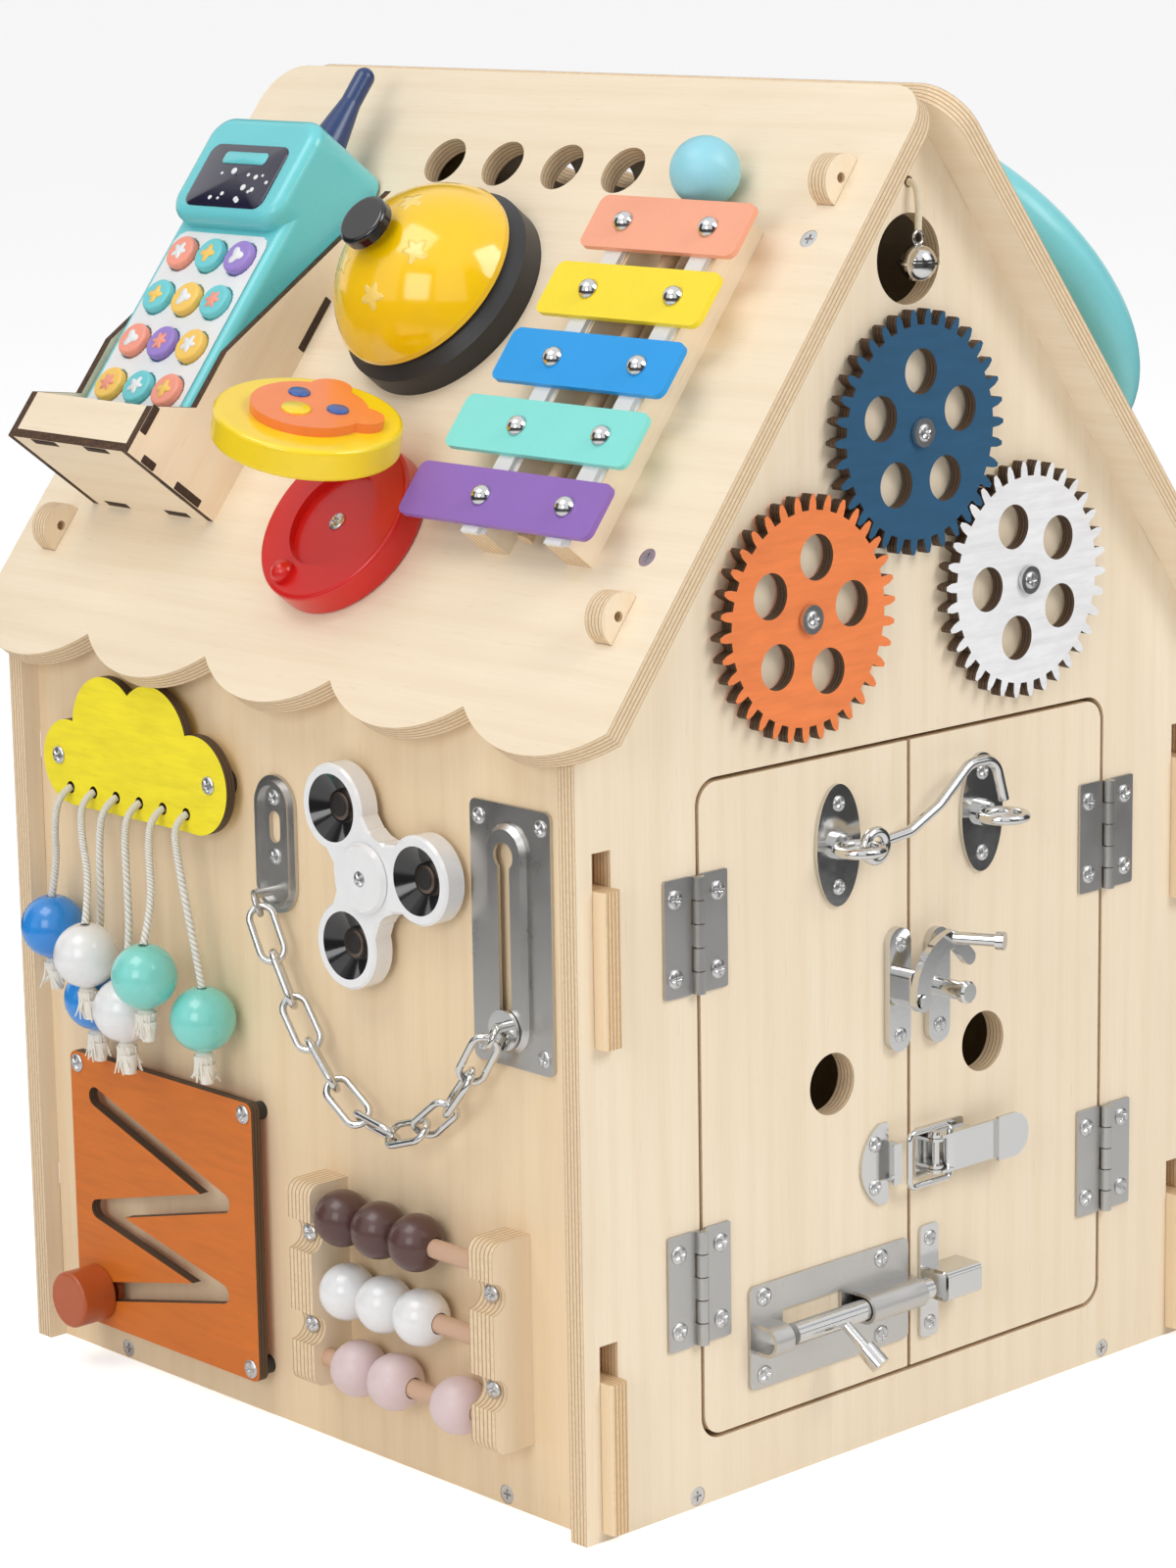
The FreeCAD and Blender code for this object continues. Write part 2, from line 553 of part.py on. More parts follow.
def bolt_bracket():
    """Pressed plate with a barrel over the rod and a stop loop at the tail."""
    plate = rounded(-72.0, -1.6, BOLT_Z - 16.5, BOLT_Z + 16.5, 2.0, 0.02, 1.2)
    plate = plate.cut(box(-58.0, -32.0, BOLT_Z - 6.5, BOLT_Z + 6.5, -1, 3))
    outer = BOLT_R + BOLT_FIT + 1.1

    def saddle(u0, u1):
        shell = box(u0, u1, BOLT_Z - outer, BOLT_Z + outer, 0.02, BOLT_W + 0.5)
        roof = Part.makeCylinder(outer, u1 - u0, V(u0, BOLT_Z, BOLT_W), V(1, 0, 0))
        bore = Part.makeCylinder(BOLT_R + BOLT_FIT, u1 - u0 + 2, V(u0 - 1, BOLT_Z, BOLT_W), V(1, 0, 0))
        hollow = box(u0 - 1, u1 + 1, BOLT_Z - BOLT_R - BOLT_FIT, BOLT_Z + BOLT_R + BOLT_FIT, 1.2, BOLT_W)
        return shell.fuse(roof).cut(bore).cut(hollow)
    return fuse([plate, saddle(-27.0, -2.4), saddle(-70.5, -62.5)])


def bolt_keeper():
    plate = rounded(4.2, 12.5, BOLT_Z - 18.5, BOLT_Z + 18.5, 1.5, 0.02, 1.2)
    outer = BOLT_R + BOLT_FIT + 1.2
    body = box(6.4, 22.0, BOLT_Z - outer, BOLT_Z + outer, 0.02, BOLT_W + outer)
    body = body.makeFillet(2.0, [e for e in body.Edges if abs(e.tangentAt(e.FirstParameter).x) > 0.9
                                 and e.CenterOfMass.z > 5])
    hollow = box(5.0, 30.0, BOLT_Z - outer + 1.1, BOLT_Z + outer - 1.1, 1.2, BOLT_W + outer - 1.1)
    return fuse([plate, body]).cut(hollow)


def bolt_rod():
    shaft = Part.makeCylinder(BOLT_R, 62.0, V(BOLT_TIP - 62.0, BOLT_Z, BOLT_W), V(1, 0, 0))
    shaft = shaft.makeChamfer(0.8, [e for e in shaft.Edges if e.CenterOfMass.x > BOLT_TIP - 0.1][:1])
    knob_u = -38.0
    stem = rod(V(knob_u, BOLT_Z, BOLT_W), V(knob_u + 2.0, BOLT_Z - 8.0, BOLT_W + 9.0), 1.7)
    end = rod(V(knob_u + 2.0, BOLT_Z - 8.0, BOLT_W + 9.0), V(knob_u + 3.2, BOLT_Z - 12.8, BOLT_W + 14.4), 3.2)
    return fuse([shaft, stem, end])


def build_door_hardware():
    save("left_door_catches", [eye_plate(-HOOK_EYE_U), toggle_catch()], GABLE)
    save("right_hook_eye", eye_plate(HOOK_EYE_U), GABLE)
    save("cabin_hook", cabin_hook(), GABLE)
    save("swing_latch_base", swing_base(), GABLE)
    save("right_door_strikes", [swing_post(), bolt_keeper()], GABLE)
    save("swing_latch_arm", swing_arm(), GABLE)
    save("toggle_base", toggle_base(), GABLE)
    save("toggle_lever", toggle_lever(), GABLE)
    save("toggle_loop", toggle_loop(), GABLE)
    save("bolt_bracket", bolt_bracket(), GABLE)
    save("bolt_rod", bolt_rod(), GABLE)


# Gears and the sleigh bell

def gear(centre, turn):
    """Flat plywood gear with tapered teeth and five lightening holes."""
    pitch_r = GEAR_CD / 2
    ring = [(pitch_r - DEDENDUM, 0.27), (pitch_r, 0.21), (pitch_r + ADDENDUM, 0.085)]
    points = []
    for i in range(GEAR_TEETH):
        mid = turn + i * 360.0 / GEAR_TEETH
        for r, half in ring:
            a = radians(mid - half * 360.0 / GEAR_TEETH)
            points.append((centre[0] + r * cos(a), centre[1] + r * sin(a)))
        for r, half in reversed(ring):
            a = radians(mid + half * 360.0 / GEAR_TEETH)
            points.append((centre[0] + r * cos(a), centre[1] + r * sin(a)))
    body = prism(points, GEAR_OFF, GEAR_OFF + GEAR_T)
    cuts = [cyl(centre[0], centre[1], PIVOT_R + PIVOT_FIT, 0, 9)]
    for i in range(5):
        a = radians(turn + 90 + i * 72)
        cuts.append(cyl(centre[0] + 18.5 * cos(a), centre[1] + 18.5 * sin(a), 7.0, 0, 9))
    return body.cut(cuts)


def gear_pivot(u, v):
    washer = cyl(u, v, 6.0, 0.02, GEAR_OFF - 0.3)
    sleeve = cyl(u, v, PIVOT_R, 0.02, GEAR_OFF + GEAR_T + 0.3)
    head = cyl(u, v, 4.4, GEAR_OFF + GEAR_T + 0.3, GEAR_OFF + GEAR_T + 1.7)
    shank = cyl(u, v, 1.5, -PLY + 1, 0.5)
    socket = prism([(u + 1.6 * cos(radians(a)), v + 1.6 * sin(radians(a))) for a in range(0, 360, 60)],
                   GEAR_OFF + GEAR_T + 0.9, GEAR_OFF + GEAR_T + 2)
    return fuse([washer, sleeve, head, shank]).cut(socket)


BELL_R = 5.6
BELL_W = 4.0


def jingle_bell():
    """Round sheet bell: two domes, a rim at the middle, a slot below, a ring on top."""
    v = BELL_HOLE_Z - 1.0
    shell = ball(0, v, BELL_W, BELL_R).fuse(Part.makeCylinder(BELL_R, 2.4, V(0, v - 1.2, BELL_W), V(0, 1, 0)))
    rim = Part.makeCylinder(BELL_R + 1.0, 0.8, V(0, v - 0.4, BELL_W), V(0, 1, 0))
    hollow = ball(0, v, BELL_W, BELL_R - 0.7)
    slit = box(-BELL_R - 1, BELL_R + 1, v - BELL_R - 1, v - 2.2, BELL_W - 0.5, BELL_W + 0.5)
    end_hole = Part.makeCylinder(0.9, 20, V(-2.8, v - 14, BELL_W), V(0, 1, 0))
    end_hole = end_hole.common(box(-9, 9, v - 9, v - 2, -9, 19))
    slit = slit.cut(box(-2.2, 2.2, v - 20, v + 20, BELL_W - 2, BELL_W + 2)).fuse(end_hole)
    ring = Part.makeTorus(2.0, 0.55, V(0, v + BELL_R + 1.9, BELL_W), V(0, 0, 1))
    body = fuse([shell, rim]).cut(hollow).cut(slit)
    return fuse([body, ring])


def build_gears():
    step = 360.0 / GEAR_TEETH
    names = ("blue_gear", "orange_gear", "white_gear")
    centres = gear_centres()
    blue_turn = 0.0
    save(names[0], gear(centres[0], blue_turn), GABLE)
    for name, c in zip(names[1:], centres[1:]):
        bearing = degrees(atan2(c[1] - centres[0][1], c[0] - centres[0][0]))
        phase = (bearing - blue_turn) / step
        turn = bearing + 180 + (0.5 + phase) * step
        save(name, gear(c, turn), GABLE)
    save("jingle_bell", jingle_bell(), GABLE)
    v_ring = BELL_HOLE_Z - 1.0 + BELL_R + 1.9
    route = [V(0, CORD_HOLE_Z, 0.1), V(0, CORD_HOLE_Z - 1.0, 3.2), V(0, CORD_HOLE_Z - 7, 4.2),
             V(0, v_ring + 2.3, BELL_W)]
    cord, radii = wire_form(route, 9.0, 1.1)
    print("bell cord radii", radii)
    save("bell_cord", cord, GABLE)


# Left wall play pieces, in the wall frame (u = -y)

CLOUD_T0 = WALL_ITEM_OFF
ROPE_R = 1.2
ROPE_TOP = 196.0
ROPE_U = [-104.3, -92.0, -79.8, -67.5, -55.2, -43.0]
# Beads in face places; the pile on the wall pushes two of them outwards
BEAD_AT = [(-112.2, 148.6, 11.3), (-79.4, 146.4, 22.2), (-89.8, 128.2, 11.3),
           (-65.0, 130.0, 18.0), (-46.2, 145.6, 24.0), (-33.1, 131.5, 11.3)]


def cloud_board():
    """Cloud outline from overlapping round lobes, flat below, on two round spacers."""
    lobes = [(-104.5, 204.5, 14.0), (-84.0, 217.0, 18.0), (-60.0, 217.0, 18.0), (-38.0, 206.0, 16.0)]
    t0, t1 = CLOUD_T0, CLOUD_T0 + BOARD_T
    board = box(-104.5, -38.0, 190.3, 210.0, t0, t1)
    for u, v, r in lobes:
        board = board.fuse(cyl(u, v, r, t0, t1))
    board = board.cut([cyl(u, ROPE_TOP, 2.0, t0 - 1, t1 + 1) for u in ROPE_U]).removeSplitter()
    spacers = [cyl(u, v, 5.0, 0.02, t0) for u, v in ((-110.0, 206.0), (-31.0, 207.0))]
    return fuse([board] + spacers)


def rope_route(i):
    """Out of its hole, over the board's face and down to the top of its bead."""
    u, (bu, bv, bw) = ROPE_U[i], BEAD_AT[i]
    w = CLOUD_T0 + BOARD_T
    top = bv + BEAD_R - 0.4
    return [V(u, ROPE_TOP, w + 0.05), V(u, ROPE_TOP - 2.0, w + 5.0),
            V(u + (bu - u) * 0.22, ROPE_TOP - 12.0, w + 6.2 + (bw - w - 5) * 0.15),
            V(u + (bu - u) * 0.62 + 0.8, top + 12.0, (w + 5 + bw) / 2 - 0.6), V(bu, top, bw)]


def bead(u, v, w):
    trim = box(u - 20, u + 20, v - BEAD_R + 0.5, v + BEAD_R - 0.5, w - 20, w + 20)
    solid = ball(u, v, w, BEAD_R).common(trim)
    return solid.cut(Part.makeCylinder(1.6, 30, V(u, v - 15, w), V(0, 1, 0)))


def knot(u, v, w):
    """Overhand knot with a short frayed end below the bead."""
    lump = ball(u, v - BEAD_R - 2.4, w, 3.2)
    tail = Part.makeCone(2.0, 3.0, 6.5, V(u + 1.0, v - BEAD_R - 10.4, w), V(0, 1, 0))
    return fuse([lump, tail])


def build_ropes():
    for n in range(3):
        cords, beads = [], []
        for i in (2 * n, 2 * n + 1):
            cord, radii = wire_form(rope_route(i), 8.0, ROPE_R)
            print("rope", i, "radii", radii, "length", round(cord.Volume / (pi * ROPE_R ** 2), 1))
            cords.append(cord)
            u, v, w = BEAD_AT[i]
            beads += [bead(u, v, w), knot(u, v, w)]
        save("rope_%d" % (n + 1), cords, WALL)
        save("rope_%d_beads" % (n + 1), beads, WALL)


# Door chain
CHAIN_W = 9.3
CHAIN_TOP = (-5.0, 171.0)
CHAIN_LOW = (54.0, 111.0)
CHAIN_END_U = 101.0
LINKS = 10
LINK_WIRE = 1.15
LINK_W = 3.9
LINK_SLACK = 0.7
EYE_R = 3.4
EYE_BAR = 0.8
CHAIN_PLAY = 0.8         # sideways play of the last link in the slider's eye at rest
TRACK_U = (86.0, 121.0)
TRACK_Z = (140.0, 219.5)
TRACK_SLOT_U = 103.0
SLIDER_Z = 152.0


def chain_points():
    """Link ends at equal steps along the hanging curve, a parabola through both ends."""
    k = (CHAIN_TOP[1] - CHAIN_LOW[1]) / (CHAIN_LOW[0] - CHAIN_TOP[0]) ** 2
    us = [CHAIN_TOP[0] + (CHAIN_END_U - CHAIN_TOP[0]) * i / 400.0 for i in range(401)]
    curve = [(u, CHAIN_LOW[1] + k * (u - CHAIN_LOW[0]) ** 2) for u in us]
    run = [0.0]
    for p, q in zip(curve, curve[1:]):
        run.append(run[-1] + hypot(q[0] - p[0], q[1] - p[1]))
    ends = []
    for i in range(LINKS + 1):
        want = run[-1] * i / LINKS
        j = min(range(len(run)), key=lambda n: abs(run[n] - want))
        ends.append(V(curve[j][0], curve[j][1], CHAIN_W))
    return ends


def chain_link(a, b, roll):
    """Oval wire link between two points, turned about its own length by roll degrees."""
    length = (b - a).Length + LINK_SLACK
    half = length / 2 + LINK_WIRE - LINK_W
    path = Part.Wire([
        Part.LineSegment(V(-half, LINK_W, 0), V(half, LINK_W, 0)).toShape(),
        Part.Arc(V(half, LINK_W, 0), V(half + LINK_W, 0, 0), V(half, -LINK_W, 0)).toShape(),
        Part.LineSegment(V(half, -LINK_W, 0), V(-half, -LINK_W, 0)).toShape(),
        Part.Arc(V(-half, -LINK_W, 0), V(-half - LINK_W, 0, 0), V(-half, LINK_W, 0)).toShape()])
    ring = Part.Wire([Part.Circle(V(0, LINK_W, 0), V(1, 0, 0), LINK_WIRE).toShape()])
    link = path.makePipeShell([ring], True, False)
    link.rotate(V(0, 0, 0), V(1, 0, 0), roll)
    link.rotate(V(0, 0, 0), V(0, 0, 1), degrees(atan2(b.y - a.y, b.x - a.x)))
    link.translate((a + b) / 2)
    return link


def end_eye(end, toward, roll):
    """Ring threaded through the chain's last link, square to that link."""
    d = (toward - end).normalize()
    t = FreeCAD.Rotation(d, roll).multVec(V(0, 0, 1).cross(d))
    hold = end + d * (EYE_BAR - LINK_SLACK / 2 + 0.7)
    centre = hold - d * EYE_R
    return Part.makeTorus(EYE_R, EYE_BAR, centre, t), centre - d * EYE_R


def link_roll(i):
    return 45 if i % 2 else -45


def build_chain():
    ends = chain_points()
    links = [chain_link(a, b, link_roll(i)) for i, (a, b) in enumerate(zip(ends, ends[1:]))]
    save("door_chain", links, WALL)
    low, high = (-6.0, 178.5), (-6.0, 203.5)
    plate = stadium(low, high, 9.5, 0.02, 1.4)
    rim = stadium(low, high, 8.0, 1.2, 3.0).cut(stadium(low, high, 6.4, 1, 4))
    plate = plate.fuse(rim).cut([cyl(-6.0, 206.0, 1.8, -1, 3), cyl(-6.0, 187.0, 1.8, -1, 3),
                                 stadium((-6.0, 194.0), (-6.0, 199.0), 2.6, -1, 3)])
    eye, heel = end_eye(ends[0], ends[1], link_roll(0))
    anchor = fuse([plate, cyl(heel.x, heel.y, 1.5, 1.0, CHAIN_W), eye])
    u0, u1 = TRACK_U
    z0, z1 = TRACK_Z
    track = rounded(u0, u1, z0, z1, 2.5, 0.02, 1.2)
    ridge = stadium((TRACK_SLOT_U, z0 + 13), (TRACK_SLOT_U, z1 - 14), 8.6, 0.5, 3.6)
    ridge = ridge.makeChamfer(1.5, [e for e in ridge.Edges if e.CenterOfMass.z > 3.5])
    hollow = stadium((TRACK_SLOT_U, z0 + 13), (TRACK_SLOT_U, z1 - 14), 6.4, -1, 2.5)
    slot = stadium((TRACK_SLOT_U, z0 + 11), (TRACK_SLOT_U, z1 - 16), 2.6, -1, 9)
    keyhole = cyl(TRACK_SLOT_U, z1 - 15, 4.2, -1, 9)
    screws = [cyl(u, v, 1.8, -1, 3) for u in (u0 + 4, u1 - 4) for v in (z0 + 5, z1 - 5)]
    save("chain_plates", [anchor, fuse([track, ridge]).cut([hollow, slot, keyhole] + screws)], WALL)
    far, foot = end_eye(ends[-1] + V(CHAIN_PLAY, 0, 0), ends[-2] + V(CHAIN_PLAY, 0, 0), -link_roll(LINKS - 1))
    button = cyl(TRACK_SLOT_U, SLIDER_Z, 5.4, 0.3, 2.1)
    neck = cyl(TRACK_SLOT_U, SLIDER_Z, 2.2, 2.0, 4.2)
    disc = cyl(TRACK_SLOT_U, SLIDER_Z, 6.2, 3.9, 5.1)
    post = cyl(foot.x, foot.y, 1.5, 4.5, CHAIN_W)
    save("chain_slider", fuse([button, neck, disc, post, far]), WALL)


# Spinner, in the wall frame
SPIN_C = (47.0, 190.0)
SPIN_LOBE = 24.5
SPIN_R = 13.8
SPIN_W0 = 3.0
SPIN_W1 = 10.0
SPIN_TURN = 127.0


def spinner_body():
    """Three round lobes blended by hollow arcs, with a conical cup in each."""
    u, v = SPIN_C
    shapes, cuts = [cyl(u, v, 15.0, SPIN_W0, SPIN_W1)], []
    for i in range(3):
        a = radians(SPIN_TURN + 120 * i)
        lu, lv = u + SPIN_LOBE * cos(a), v + SPIN_LOBE * sin(a)
        shapes.append(cyl(lu, lv, SPIN_R, SPIN_W0, SPIN_W1))
        shapes.append(stadium((u, v), (lu, lv), 10.5, SPIN_W0, SPIN_W1))
        cuts.append(Part.makeCone(5.0, 10.6, 3.6, V(lu, lv, SPIN_W1 - 3.6)))
    body = fuse(shapes)
    for i in range(3):
        a = radians(SPIN_TURN + 60 + 120 * i)
        cuts.append(cyl(u + 22.5 * cos(a), v + 22.5 * sin(a), 8.6, -1, 20))
    rims = [e for e in body.Edges if abs(e.CenterOfMass.z - SPIN_W1) < 0.01]
    body = body.makeChamfer(0.8, rims)
    cuts.append(cyl(u, v, 4.0 + PIVOT_FIT, -1, 20))
    return body.cut(cuts)


def spinner_post():
    u, v = SPIN_C
    cap = Part.makeCone(11.0, 10.0, 1.6, V(u, v, SPIN_W1 + 0.3))
    post = fuse([cyl(u, v, 4.0, 0.02, SPIN_W1 + 0.4), cyl(u, v, 7.0, 0.02, SPIN_W0 - 0.4), cap])
    return post.cut(cyl(u, v, 1.6, SPIN_W1 + 1.0, 20))


# Maze board
MAZE = (-111.0, -15.0, 13.0, 106.0)
MAZE_TRACK = [(-98.0, 92.0), (-31.0, 70.0), (-99.0, 53.0), (-33.0, 39.0), (-100.0, 24.0)]
MAZE_SLOT = 3.3
MAZE_KNOB_R = 9.5


def maze_board():
    u0, u1, v0, v1 = MAZE
    t0, t1 = WALL_ITEM_OFF, WALL_ITEM_OFF + BOARD_T
    board = rounded(u0, u1, v0, v1, 3.0, t0, t1)
    for a, b in zip(MAZE_TRACK, MAZE_TRACK[1:]):
        board = board.cut(stadium(a, b, MAZE_SLOT, t0 - 1, t1 + 1))
    spacers = [cyl(u, v, 3.0, 0.02, t0) for u in (u0 + 4, u1 - 4) for v in (v0 + 4, v1 - 4)]
    return fuse([board.removeSplitter()] + spacers)


def maze_knob():
    u, v = MAZE_TRACK[-1]
    t0, t1 = WALL_ITEM_OFF, WALL_ITEM_OFF + BOARD_T
    grip = cyl(u, v, MAZE_KNOB_R, t1 + 0.4, t1 + 13.0)
    grip = grip.makeFillet(1.2, [e for e in grip.Edges if e.CenterOfMass.z > t1 + 12])
    return fuse([grip, cyl(u, v, MAZE_SLOT - 0.35, t0 - 1.0, t1 + 1), cyl(u, v, 5.2, t0 - 2.6, t0 - 0.6)])


# Abacus
AB_L = (12.0, 23.0)
AB_R = (97.0, 108.0)
AB_Z = (23.0, 89.0)
AB_DEPTH = 15.5
AB_DOWELS = (79.5, 56.0, 32.0)
AB_W = 9.7


def abacus_bracket(u0, u1):
    """Laminated bar whose front dips twice, where its screws sit."""
    z0, z1 = AB_Z
    body = box(u0, u1, z0, z1, 0.02, AB_DEPTH)
    for z in (72.0, 42.0):
        dip = Part.makeCylinder(5.0, u1 - u0 + 2, V(u0 - 1, z, AB_DEPTH), V(1, 0, 0))
        body = body.cut(dip)
    corners = [e for e in body.Edges if abs(e.tangentAt(e.FirstParameter).x) > 0.9
               and e.CenterOfMass.z > AB_DEPTH - 0.1
               and (e.CenterOfMass.y < z0 + 0.1 or e.CenterOfMass.y > z1 - 0.1)]
    return body.makeFillet(4.0, corners)


def abacus_frame():
    dowels = [Part.makeCylinder(DOWEL_R, AB_R[0] - AB_L[1] + 12, V(AB_L[1] - 6, z, AB_W), V(1, 0, 0))
              for z in AB_DOWELS]
    return fuse([abacus_bracket(*AB_L), abacus_bracket(*AB_R)] + dowels)


def abacus_bead(u, z):
    half = ABACUS_R - 0.4
    solid = ball(u, z, AB_W, ABACUS_R).common(box(u - half, u + half, z - 20, z + 20, -5, 40))
    return solid.cut(Part.makeCylinder(DOWEL_R + DOWEL_FIT, 40, V(u - 20, z, AB_W), V(1, 0, 0)))


AB_STEP = 2 * ABACUS_R - 0.5


def build_abacus():
    save("abacus_frame", abacus_frame(), WALL)
    first = AB_L[1] + ABACUS_R - 0.1
    rows = [("abacus_top_beads", 0, [first + i * AB_STEP for i in range(3)]),
            ("abacus_middle_beads", 1, [first + 1.5 + i * AB_STEP for i in range(3)]),
            ("abacus_low_pair", 2, [first + 6.0 + i * AB_STEP for i in range(2)]),
            ("abacus_low_bead", 2, [AB_R[0] - ABACUS_R - 3.0])]
    for name, row, us in rows:
        save(name, [abacus_bead(u, AB_DOWELS[row]) for u in us], WALL)


# Left roof play pieces, in the roof frame (u = -y, v = -slope distance)

XYL_S = [72.0, 96.3, 120.6, 144.9, 169.2]
XYL_LEN = [66.0, 70.0, 74.0, 79.0, 84.0]
XYL_END_U = 124.5
BAR_W = 18.5
RAIL_U = [(67.5, 78.5), (104.0, 115.0)]
RAIL_H = 12.0
FELT_T = 1.6
BAR_T = 2.0


def build_xylophone():
    rails, bars, felts = [], [], []
    for u0, u1 in RAIL_U:
        rails.append(box(u0, u1, -180.0, -63.0, 0.02, RAIL_H))
        felts.append(box(u0 + 2, u1 - 2, -180.5, -61.5, RAIL_H, RAIL_H + FELT_T))
    w = RAIL_H + FELT_T
    for s, length in zip(XYL_S, XYL_LEN):
        bar = rounded(XYL_END_U - length, XYL_END_U, -s - BAR_W / 2, -s + BAR_W / 2, 3.0, w, w + BAR_T)
        heads = [cyl((u0 + u1) / 2, -s, 3.2, w + BAR_T - 0.5, w + BAR_T + 1.0)
                 .fuse(Part.makeSphere(3.6, V((u0 + u1) / 2, -s, w + BAR_T - 0.6))
                       .common(box(-200, 200, -300, 0, w + BAR_T + 0.2, 40))) for u0, u1 in RAIL_U]
        bars.append(fuse([bar] + heads))
    save("xylophone_rails", [r.fuse(f) for r, f in zip(rails, felts)], ROOF_L)
    save("xylophone_bars", bars, ROOF_L)


MALLET_U = 91.3
MALLET_W = 11.4
MALLET_S = 50.0
MALLET_BALL_R = 10.8


def mallet():
    stick = Part.makeCylinder(2.6, 128.0, V(MALLET_U, -MALLET_S, 8.0), V(0, -1, 0))
    return fuse([ball(MALLET_U, -MALLET_S, MALLET_W, MALLET_BALL_R), stick])


BELL_C = (-4.5, -95.5)


def build_call_bell():
    """Counter bell: a stepped base, a sprung push button and a domed gong."""
    u, v = BELL_C
    base = fuse([cyl(u, v, 35.5, 0.02, 8.0), Part.makeCone(35.5, 31.0, 4.0, V(u, v, 8.0))])
    post = cyl(u, v, 3.0, 11.0, 36.0)
    bore = cyl(u, v, 1.8, 17.0, 40.0)
    save("call_bell_base", fuse([base, post]).cut(bore), ROOF_L)
    r, h0 = 33.0, 13.5
    rise = 22.5
    big = (r * r + rise * rise) / (2 * rise)

    def cap(radius, height, w):
        sphere = Part.makeSphere(radius, V(u, v, w + height - radius))
        return sphere.common(cyl(u, v, 60, w, w + 60))
    outer = cap(big, rise, h0 + 2.0).fuse(cyl(u, v, r, h0, h0 + 2.05))
    inner = cap(big - 1.2, rise - 1.2, h0 + 2.0).fuse(cyl(u, v, r - 1.25, h0 - 1, h0 + 2.05))
    save("call_bell_dome", fuse([outer]).cut(fuse([inner])).cut(cyl(u, v, 2.4, 20, 60)).fuse(
        Part.makeCylinder(3.6, 2.0, V(u, v, 35.9)).cut(cyl(u, v, 3.05, 30, 40))), ROOF_L)
    top = cyl(u, v, 8.8, 41.6, 45.8)
    top = top.makeFillet(1.4, [e for e in top.Edges if e.CenterOfMass.z > 45])
    save("call_bell_button", fuse([cyl(u, v, 1.5, 22.0, 42.0), top]), ROOF_L)


CAST_C = (7.0, -181.0)
CAST_R = 29.0
CAST_T = 10.0
CAST_DIR = 68.0          # bearing of the hinge side, degrees from +u
CAST_OPEN = 50.0


def castanet_disc(w0, dish):
    u, v = CAST_C
    disc = cyl(u, v, CAST_R, w0, w0 + CAST_T)
    disc = disc.makeFillet(1.5, [e for e in disc.Edges if len(e.Vertexes) == 1])
    if dish:
        disc = disc.cut(cyl(u, v, 17.0, w0 + CAST_T - 2.5, w0 + CAST_T + 1))
    return disc


def build_castanet():
    u, v = CAST_C
    a = radians(CAST_DIR)
    knob = (u - 22.5 * cos(a), v - 22.5 * sin(a))
    base = fuse([castanet_disc(0.02, True), cyl(knob[0], knob[1], 4.0, CAST_T - 1, CAST_T + 1.6),
                 ball(knob[0], knob[1], CAST_T + 0.4, 4.0)])
    save("castanet_base", base, ROOF_L)
    lid = castanet_disc(CAST_T + 5.2, False)
    lid = lid.cut(cyl(u, v, 17.0, CAST_T + 5.0, CAST_T + 7.4))
    top = CAST_T * 2 + 5.2
    face = [cyl(u, v, 18.0, top - 0.5, top + 3.0)]
    for k in (-1, 1):
        e = radians(CAST_DIR + k * 42)
        face.append(cyl(u + 17.0 * cos(e), v + 17.0 * sin(e), 6.5, top - 0.5, top + 3.0))
    lid = fuse([lid] + face)
    h = V(u + (CAST_R - 1) * cos(a), v + (CAST_R - 1) * sin(a), CAST_T + 2.6)
    lid.rotate(h, V(-sin(a), cos(a), 0), CAST_OPEN)
    save("castanet_lid", lid, ROOF_L)


# Phone and its finger-jointed holder
HOLD_U = (-124.0, -60.0)
HOLD_S = (57.0, 184.0)
HOLD_DEEP = 42.0
HOLD_LIP = 17.0
HOLD_T = 3.0
PHONE_GAP = 1.2
PHONE_T = 27.0
KEY_R = 6.0
KEY_GAP = 0.3
KEY_PITCH_U = 15.0
KEY_PITCH_S = 17.0
KEY_TOP_S = 103.0


def phone_holder():
    """Two wedge cheeks, a floor and a front lip, laser cut with finger joints."""
    u0, u1 = HOLD_U
    s0, s1 = HOLD_S
    t = HOLD_T
    step = HOLD_DEEP - 15.0
    profile = [(-s1, 0.02), (-s1, HOLD_DEEP), (-s1 + HOLD_LIP, HOLD_DEEP), (-s1 + HOLD_LIP + 9, step),
               (-s1 + HOLD_LIP + 30, step), (-s0, 0.02)]
    cheek_wire = Part.makePolygon([V(0, p[0], p[1]) for p in profile] + [V(0, profile[0][0], profile[0][1])])
    cheeks = []
    for u in (u0, u1 - t):
        cheek = Part.Face(cheek_wire).extrude(V(t, 0, 0))
        cheek.translate(V(u, 0, 0))
        cheeks.append(cheek)
    floor = box(u0 + t, u1 - t, -s1, -s1 + t, 0.02, HOLD_DEEP)
    lip = box(u0 + t, u1 - t, -s1 + t, -s1 + HOLD_LIP, HOLD_DEEP - t, HOLD_DEEP)
    fingers = []
    for u, sign in ((u0, 1), (u1 - t, -1)):
        fingers.append(box(u, u + t, -s1 - 0.0, -s1 + t, 8.0, 20.0))
        fingers.append(box(u, u + t, -s1 + 6.0, -s1 + 12.0, HOLD_DEEP - t, HOLD_DEEP))
    cheeks = [c.cut(fingers) for c in cheeks]
    floor = floor.fuse([f for f in fingers[0::2]]).removeSplitter()
    lip = lip.fuse([f for f in fingers[1::2]]).removeSplitter()
    return cheeks + [floor, lip]


